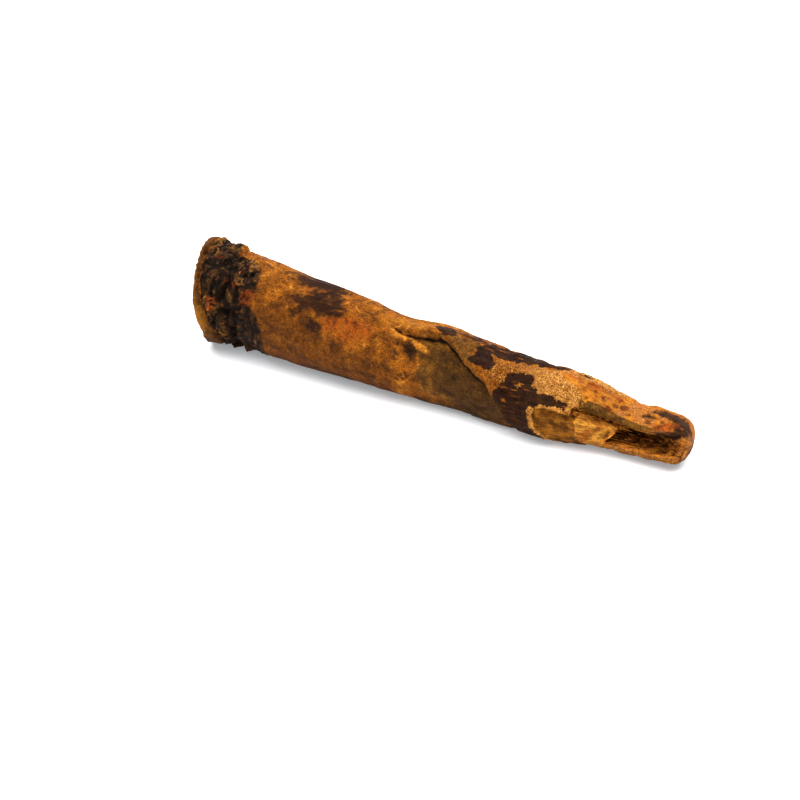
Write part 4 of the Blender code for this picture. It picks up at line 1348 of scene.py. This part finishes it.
def bark_material(colours):
    """The whole root's surface: bark, crown, cork, dark skin and bare wood, with painted shade and
    highlights, each where its field says.
    """
    material = bpy.data.materials.new("root_bark")
    material.use_nodes = True
    shader = material.node_tree.nodes["Principled BSDF"]
    s = Shader(material.node_tree)
    where = s.node("ShaderNodeTexCoord").outputs["Object"]
    paints, heights = bark_paints(s, where, colours)
    masks = bark_masks(s, where)
    noises = {}
    for name, (stretch, *sizes) in PAINT_NOISES.items():
        place = where if stretch == 1.0 else s.stretched(where, (stretch, 1.0, 1.0))
        noises[name] = s.noise(place, *sizes)

    def flecked(paint, rows):
        for name, low, high, strength, colour in rows:
            paint = s.mix(s.span(noises[name], low, high, 0.0, strength), paint, paints[colour])
        return paint

    pale = s.math("MULTIPLY", s.field("pale"), s.span(noises["pale_cork"], 0.36, 0.5))
    # The crown's scars: lighter the higher they stand, painted highlight, and darker between them, painted
    # shade.
    raised = s.math("ADD", s.field("raised"), s.span(noises["raised"], 0.3, 0.7, -0.22, 0.22))
    knobs = s.mix(s.span(raised, 0.3, 0.7), paints["crown_deep"], paints["crown_mid"])
    knobs = s.mix(s.span(raised, 0.68, 1.0), knobs, paints["crown_knob"])
    paints["flaked_cork"] = s.mix(pale, paints["brown_cork"], paints["light_cork"])
    paints["streaked_skin"] = flecked(paints["dark_skin"], DARK_STREAKS)
    paints["knobs"] = flecked(knobs, KNOB_BLOTCHES)
    powdered = s.math("MULTIPLY", masks["well_in_split"], s.span(noises["powdered"], 0.45, 0.55, 0.0, 0.75))
    masks["powdered"] = s.math("MULTIPLY", powdered, s.field("flaky"))
    red_streaks = s.span(noises["red_streaks"], 0.58, 0.66, 0.0, 0.75)
    masks["red_streaks"] = s.math("MULTIPLY", masks["well_in_split"], red_streaks)
    skin = flecked(paints["bark"], BARK_FLECKS)
    for mask, paint in COATS:
        skin = s.mix(masks[mask], skin, paints[paint])
    # Convex edges lighter, for wear and as a painted highlight.
    worn_and_lit_edge = s.mix(1.0, skin, WORN_AND_LIT_EDGE, "MULTIPLY")
    skin = s.mix(s.span(s.field("cavity"), -0.03, -0.2, 0.0, 0.7), skin, worn_and_lit_edge)
    s.feed(shader, "Base Color", skin)
    s.feed(shader, "Roughness", s.span(noises["gloss"], 0.3, 0.7, 0.52, 0.8))
    shader.inputs["Specular IOR Level"].default_value = DRY_GLOSS
    corky = s.math("ADD", heights["light_cork"], heights["split_wood"])
    height = s.math("MULTIPLY", corky, 0.5)
    for name, share in (("wrinkles", 0.7), ("grit", 0.6)):
        height = s.math("ADD", height, s.math("MULTIPLY", noises[name], share))
    bump = s.node("ShaderNodeBump", Height=height, Strength=1.0, Distance=0.8 * MM)
    s.feed(shader, "Normal", bump.outputs[0])
    return material


def make_root(shape, colours):
    """The finer root: grown as the source's, with small relief, and its finishes written on its vertices."""
    root = new_tube("root_skin", tube_points(shape.ring_gap / MM, shape.sides))
    skin_over(root, shape.voxel, 1)
    keep_largest(root)
    mesh = root.data
    mesh.shade_smooth()
    at = Surface(vertex_array(mesh) / MM, vertex_array(mesh, "normal"))
    fields = finish_fields(at)
    relief = fine_relief(at, fields) * shape.relief * ramp(at.z + ROOT_MOVE[2], 0.4, 1.6)
    moved = at.points + at.normals * relief[:, None] + np.array(ROOT_MOVE)
    mesh.vertices.foreach_set("co", (moved * MM).astype(np.float32).ravel())
    mesh.update()
    outward = vertex_array(mesh, "normal")
    # How far each place lies in a hollow, finely and broadly: the material paints shade in hollows and
    # lightens convex edges.
    for name, rounds in (("cavity", 6), ("hollow", 90)):
        around = spread(mesh, moved, rounds)
        fields[name] = spread(mesh, ((around - moved) * outward).sum(1), 1)
    write_fields(mesh, fields)
    cut_at_floor(root)
    mesh.materials.clear()
    mesh.materials.append(bark_material(colours))
    return root


def strewing_tree(name, kind, sizes, aligned=False):
    """A tree that strews copies of one small shape over a mesh, as thick as a share on it says."""
    tree = bpy.data.node_groups.new(name, "GeometryNodeTree")
    for title, socket in (
        ("Mesh", "Geometry"), ("Share", "String"), ("Density", "Float"), ("Seed", "Int"),
        ("Smallest", "Vector"), ("Largest", "Vector"), ("Least turn", "Vector"), ("Most turn", "Vector"),
        ("Material", "Material"),
    ):
        tree.interface.new_socket(title, in_out="INPUT", socket_type="NodeSocket" + socket)
    tree.interface.new_socket("Mesh", in_out="OUTPUT", socket_type="NodeSocketGeometry")
    given, made = tree.nodes.new("NodeGroupInput").outputs, tree.nodes.new("NodeGroupOutput")
    s = Shader(tree)
    share = s.node("GeometryNodeInputNamedAttribute", {"data_type": "FLOAT"}, Name=given["Share"])
    density = s.math("MULTIPLY", given["Density"], share.outputs["Attribute"])
    points = s.node(
        "GeometryNodeDistributePointsOnFaces", Mesh=given["Mesh"], Density=density, Seed=given["Seed"]
    )

    def between(low, high, step):
        chosen = s.node("FunctionNodeRandomValue", {"data_type": "FLOAT_VECTOR"})
        s.feed(chosen, "0", given[low])
        s.feed(chosen, "1", given[high])
        s.feed(chosen, "Seed", step)
        return chosen.outputs[0]

    turn = points.outputs["Rotation"] if aligned else between("Least turn", "Most turn", 1)
    shape = s.node(kind, None, **sizes).outputs["Mesh"]
    copies = s.node(
        "GeometryNodeInstanceOnPoints", Points=points.outputs["Points"], Instance=shape, Rotation=turn,
        Scale=between("Smallest", "Largest", 2),
    )
    solid = s.node("GeometryNodeRealizeInstances", Geometry=copies.outputs["Instances"]).outputs["Geometry"]
    coloured = s.node("GeometryNodeSetMaterial", Geometry=solid, Material=given["Material"])
    tree.links.new(coloured.outputs["Geometry"], made.inputs["Mesh"])
    return tree


def strew(name, tree, material, share, for_each_mm, seed, sizes, turns=ANY_TURN):
    """A piece of its own: what the tree strews over the root, as a plain mesh."""
    smallest, largest = (tuple(part * MM for part in size) for size in sizes)
    values = {
        "Share": share, "Density": for_each_mm / MM**2, "Seed": seed, "Smallest": smallest,
        "Largest": largest, "Least turn": turns[0], "Most turn": turns[1], "Material": material,
    }
    piece = bpy.data.objects.new(name, bpy.data.objects["root_skin"].data.copy())
    bpy.context.scene.collection.objects.link(piece)
    modifier = piece.modifiers.new("strew", "NODES")
    modifier.node_group = tree
    for item in tree.interface.items_tree:
        if item.in_out == "INPUT" and item.name in values:
            modifier[item.identifier] = values[item.name]
    freeze(piece)
    if not piece.data.polygons:
        raise RuntimeError("nothing was strewn: " + name)
    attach(piece, BODY)


def crumb_material(name, colours, light, middle, dark, grain_size):
    """Small loose bits: three colours that change from bit to bit."""
    material = bpy.data.materials.new(name)
    material.use_nodes = True
    shader = material.node_tree.nodes["Principled BSDF"]
    s = Shader(material.node_tree)
    light, middle, dark = (opaque(getattr(colours, paint)) for paint in (light, middle, dark))
    where = s.node("ShaderNodeTexCoord").outputs["Object"]
    chance = s.noise(where, grain_size, 2.0, 0.6)
    colour = s.mix(s.span(chance, 0.48, 0.6), middle, light)
    colour = s.mix(s.span(chance, 0.47, 0.4), colour, dark)
    grit = s.noise(where, 4.0 * grain_size, 3.0, 0.7)
    s.feed(shader, "Base Color", s.mix(1.0, colour, s.grey(s.span(grit, 0.3, 0.7, 0.75, 1.2)), "MULTIPLY"))
    s.feed(shader, "Roughness", s.span(grit, 0.3, 0.7, 0.6, 0.85))
    shader.inputs["Specular IOR Level"].default_value = DRY_GLOSS
    bump = s.node("ShaderNodeBump", Height=grit, Strength=0.6, Distance=0.3 * MM)
    s.feed(shader, "Normal", bump.outputs[0])
    return material


def make_floor(width, glow):
    """The pale floor, just under the root."""
    bpy.ops.mesh.primitive_plane_add(size=width)
    floor = bpy.context.object
    floor.name = "floor"
    floor.data.transform(Matrix.Translation((0, 0, -FLOOR_GAP)))
    material = bpy.data.materials.new("pale_floor")
    material.use_nodes = True
    shader = material.node_tree.nodes["Principled BSDF"]
    shader.inputs["Base Color"].default_value = (0.9, 0.91, 0.93, 1)
    shader.inputs["Roughness"].default_value = 0.6
    shader.inputs["Specular IOR Level"].default_value = 0.2
    shader.inputs["Emission Color"].default_value = (0.94, 0.97, 1, 1)
    shader.inputs["Emission Strength"].default_value = glow
    floor.data.materials.append(material)
    return floor


def make_sky(strength):
    """Even light all round; where the sky itself shows, it is plain white."""
    world = bpy.data.worlds.new("even_sky")
    bpy.context.scene.world = world
    world.use_nodes = True
    s, background = Shader(world.node_tree), world.node_tree.nodes["Background"]
    seen = s.node("ShaderNodeLightPath").outputs["Is Camera Ray"]
    background.inputs["Color"].default_value = (1, 1, 1, 1)
    s.feed(background, "Strength", s.span(seen, 0.0, 1.0, strength, 1.0))


def make_light(name, power, place, size):
    """One soft square light that looks at the root's middle."""
    data = bpy.data.lights.new(name, "AREA")
    data.energy = power
    data.size = size
    light = bpy.data.objects.new(name, data)
    light.location = place
    light.rotation_euler = (-Vector(place)).to_track_quat("-Z", "Y").to_euler()
    bpy.context.scene.collection.objects.link(light)


def make_camera():
    """The camera, which looks at the root from the side and from above."""
    data = bpy.data.cameras.new("camera")
    data.sensor_width = SENSOR_WIDTH
    data.lens = SENSOR_WIDTH / 2 / math.tan(math.radians(CAMERA_HALF_FIELD))
    data.clip_start = NEAREST_SEEN
    camera = bpy.data.objects.new("camera", data)
    camera.location = (Vector(CAMERA_PLACE) + Vector(ROOT_MOVE)) * MM
    camera.rotation_euler = (math.radians(90 - CAMERA_ELEVATION), 0, math.radians(CAMERA_AZIMUTH))
    bpy.context.scene.collection.objects.link(camera)
    bpy.context.scene.camera = camera


def number_property(name, description, value, **kind):
    return bpy.props.FloatProperty(name=name, description=description, default=value, **kind)


def length_property(name, description, value):
    return number_property(name, description, value, unit="LENGTH", subtype="DISTANCE")


def colour_property(name, description, value):
    return bpy.props.FloatVectorProperty(
        name=name, description=description, default=rgb(*value)[:3], size=3, subtype="COLOR"
    )


class RootShapeSettings(bpy.types.PropertyGroup):
    """Sizes of the root's finer skin."""

    voxel: length_property("Skin detail", "How fine the skin's mesh is", 0.00048)
    ring_gap: length_property("Ring gap", "Gap between the rings that the skin grows on", 0.0004)
    sides: bpy.props.IntProperty(name="Sides", description="Points in each ring", default=260)
    relief: number_property("Relief", "Strength of the small relief", 1.0, subtype="FACTOR")


class RootColourSettings(bpy.types.PropertyGroup):
    """Colours of the root's finishes."""

    skin: colour_property("Skin", "The smooth bark of the taper", (160, 90, 20))
    skin_deep: colour_property("Deep skin", "Its deeper blotches", (118, 64, 14))
    skin_brown: colour_property("Brown skin", "Brown veins and patches in it", (66, 36, 14))
    ochre: colour_property("Ochre", "Yellow glints in it", (214, 138, 44))
    rust: colour_property("Rust", "Orange-red blotches", (176, 82, 18))
    rust_deep: colour_property("Deep rust", "Their darker parts", (92, 36, 14))
    # Painted shade on the lower side.
    underside: colour_property("Underside", "Painted shade underneath", (34, 20, 10))
    khaki: colour_property("Khaki", "The sunken place", (120, 78, 24))
    khaki_deep: colour_property("Deep khaki", "Its deeper blotches", (76, 48, 18))
    cork: colour_property("Cork", "Light crumbs of cork", (232, 170, 86))
    cork_ground: colour_property("Cork ground", "Between the crumbs", (172, 106, 40))
    pore: colour_property("Pore", "Pores in the cork", (76, 40, 20))
    plum: colour_property("Plum", "Dark skin patches", (42, 21, 14))
    plum_deep: colour_property("Deep plum", "Their darkest parts", (24, 14, 11))
    crown_knob: colour_property("Crown", "Raised scars of the crown", (122, 79, 33))
    crown_mid: colour_property("Crown sides", "The sides of its scars", (68, 43, 20))
    crown_deep: colour_property("Deep crown", "Between its scars", (30, 20, 14))
    rim: colour_property("Rim", "The crown's rim", (108, 67, 27))
    rim_deep: colour_property("Deep rim", "Its deeper blotches", (70, 41, 16))
    wood: colour_property("Split wood", "The tongue's face", (208, 128, 34))
    wood_deep: colour_property("Deep wood", "Its deeper parts", (166, 92, 28))
    flake: colour_property("Flakes", "Powdery flakes on the tongue's face", (206, 144, 84))
    wood_line: colour_property("Wood line", "Its lines", (116, 60, 20))
    shaved: colour_property("Shaved wood", "The shaved oval", (162, 99, 25))
    shaved_deep: colour_property("Deep shaved wood", "Its deeper parts", (98, 56, 15))
    shaved_line: colour_property("Shaved line", "Its lines", (46, 26, 12))
    broken: colour_property("Broken wood", "The broken flank", (224, 152, 56))
    fibre: colour_property("Fibre", "Ridges in the slot", (206, 124, 40))
    fibre_deep: colour_property("Deep fibre", "Between them", (124, 66, 20))
    soot: colour_property("Soot", "Black places at the tip and in pits", (28, 20, 18))
    # The darkest colour: painted shade in creases and hollows, and the darkest veins and marks.
    darkest_and_crevice_shade: colour_property("Crevice", "Painted shade in crevices, and the darkest marks", (22, 14, 9))


class StrewnSettings(bpy.types.PropertyGroup):
    """How thick the small loose bits lie, for each square millimetre."""

    crumbs: number_property("Crumbs", "Crumbs of cork for each square mm", 1.1)
    splinters: number_property("Splinters", "Wood fibres for each square mm", 0.8)
    scales: number_property("Scales", "Scales of dead skin for each square mm", 0.3)
    seed: bpy.props.IntProperty(name="Seed", description="Which of many scatters is used", default=7)


class StageSettings(bpy.types.PropertyGroup):
    """Sizes and strengths of the stage."""

    floor_width: length_property("Floor width", "Width of the pale floor", 6.0)
    floor_glow: number_property("Floor glow", "Light that the floor gives of itself", 0.28)
    back_power: number_property("Back light", "Power of the soft light behind", 36.0, unit="POWER")
    top_power: number_property("Top light", "Power of the soft light overhead", 72.0, unit="POWER")
    sky: number_property("Sky", "Strength of the even light all round", 0.45)


class RHUBARB_OT_root(bpy.types.Operator):
    """Builds the root's finer skin with its bark"""

    bl_idname = "rhubarb.root"
    bl_label = "Root"

    def execute(self, context):
        root = make_root(context.scene.rhubarb_shape, context.scene.rhubarb_colours)
        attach(root, BODY)
        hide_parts(NODE)
        return {"FINISHED"}


class RHUBARB_OT_crumbs(bpy.types.Operator):
    """Strews crumbs over the flaked cork"""

    bl_idname = "rhubarb.crumbs"
    bl_label = "Cork crumbs"

    def execute(self, context):
        bits, colours = context.scene.rhubarb_strewn, context.scene.rhubarb_colours
        material = crumb_material("cork_crumb", colours, "cork", "cork_ground", "pore", 1900.0)
        tree = strewing_tree("strew_crumbs", "GeometryNodeMeshIcoSphere", {"Radius": 1.0, "Subdivisions": 1})
        strew("cork_crumbs", tree, material, "crumbs", bits.crumbs, bits.seed, CRUMB_SIZES)
        return {"FINISHED"}


class RHUBARB_OT_splinters(bpy.types.Operator):
    """Strews wood fibres over the slot and the broken edges"""

    bl_idname = "rhubarb.splinters"
    bl_label = "Splinters"

    def execute(self, context):
        bits, colours = context.scene.rhubarb_strewn, context.scene.rhubarb_colours
        material = crumb_material("wood_fibre", colours, "broken", "fibre", "fibre_deep", 900.0)
        tree = strewing_tree("strew_splinters", "GeometryNodeMeshCone", SPLINTER_CONE)
        sizes, turns = SPLINTER_SIZES, SPLINTER_TURN
        strew("splinters", tree, material, "splinters", bits.splinters, bits.seed + 1, sizes, turns)
        return {"FINISHED"}


class RHUBARB_OT_scales(bpy.types.Operator):
    """Strews scales of dead skin over the crown's scars"""

    bl_idname = "rhubarb.scales"
    bl_label = "Crown scales"

    def execute(self, context):
        bits, colours = context.scene.rhubarb_strewn, context.scene.rhubarb_colours
        material = crumb_material("crown_scale", colours, "crown_mid", "crown_deep", "darkest_and_crevice_shade", 400.0)
        ball = {"Radius": 1.0, "Subdivisions": 2}
        tree = strewing_tree("strew_scales", "GeometryNodeMeshIcoSphere", ball, aligned=True)
        strew("crown_scales", tree, material, "scales", bits.scales, bits.seed + 2, SCALE_SIZES)
        return {"FINISHED"}


class RHUBARB_OT_stage(bpy.types.Operator):
    """Builds the pale floor, the soft lights and the camera"""

    bl_idname = "rhubarb.stage"
    bl_label = "Stage"

    def execute(self, context):
        settings = context.scene.rhubarb_stage
        floor = make_floor(settings.floor_width, settings.floor_glow)
        make_sky(settings.sky)
        make_light("top_light", settings.top_power, *TOP_LIGHT)
        make_light("back_light", settings.back_power, *BACK_LIGHT)
        make_camera()
        context.scene.view_settings.view_transform = "Standard"
        return {"FINISHED"}


class RHUBARB_PT_panel(bpy.types.Panel):
    """Lists the pieces of the root and its stage"""

    bl_idname = "RHUBARB_PT_panel"
    bl_label = "Rhubarb root"
    bl_space_type = "VIEW_3D"
    bl_region_type = "UI"
    bl_category = "Rhubarb root"

    def draw(self, context):
        for place, group in SETTINGS:
            for name in group.__annotations__:
                self.layout.prop(getattr(context.scene, place), name)
        for operator in OPERATORS:
            self.layout.operator(operator.bl_idname)


SETTINGS = (
    ("rhubarb_shape", RootShapeSettings),
    ("rhubarb_colours", RootColourSettings),
    ("rhubarb_strewn", StrewnSettings),
    ("rhubarb_stage", StageSettings),
)
OPERATORS = (RHUBARB_OT_root, RHUBARB_OT_crumbs, RHUBARB_OT_splinters, RHUBARB_OT_scales, RHUBARB_OT_stage)


def register():
    for name, group in SETTINGS:
        bpy.utils.register_class(group)
        setattr(bpy.types.Scene, name, bpy.props.PointerProperty(type=group))
    for made in OPERATORS + (RHUBARB_PT_panel,):
        bpy.utils.register_class(made)


def unregister():
    for made in (RHUBARB_PT_panel,) + OPERATORS[::-1]:
        bpy.utils.unregister_class(made)
    for name, group in SETTINGS[::-1]:
        delattr(bpy.types.Scene, name)
        bpy.utils.unregister_class(group)


def main():
    register()
    bpy.ops.rhubarb.root()
    bpy.ops.rhubarb.crumbs()
    bpy.ops.rhubarb.splinters()
    bpy.ops.rhubarb.scales()
    bpy.ops.rhubarb.stage()


if __name__ == "__main__":
    main()
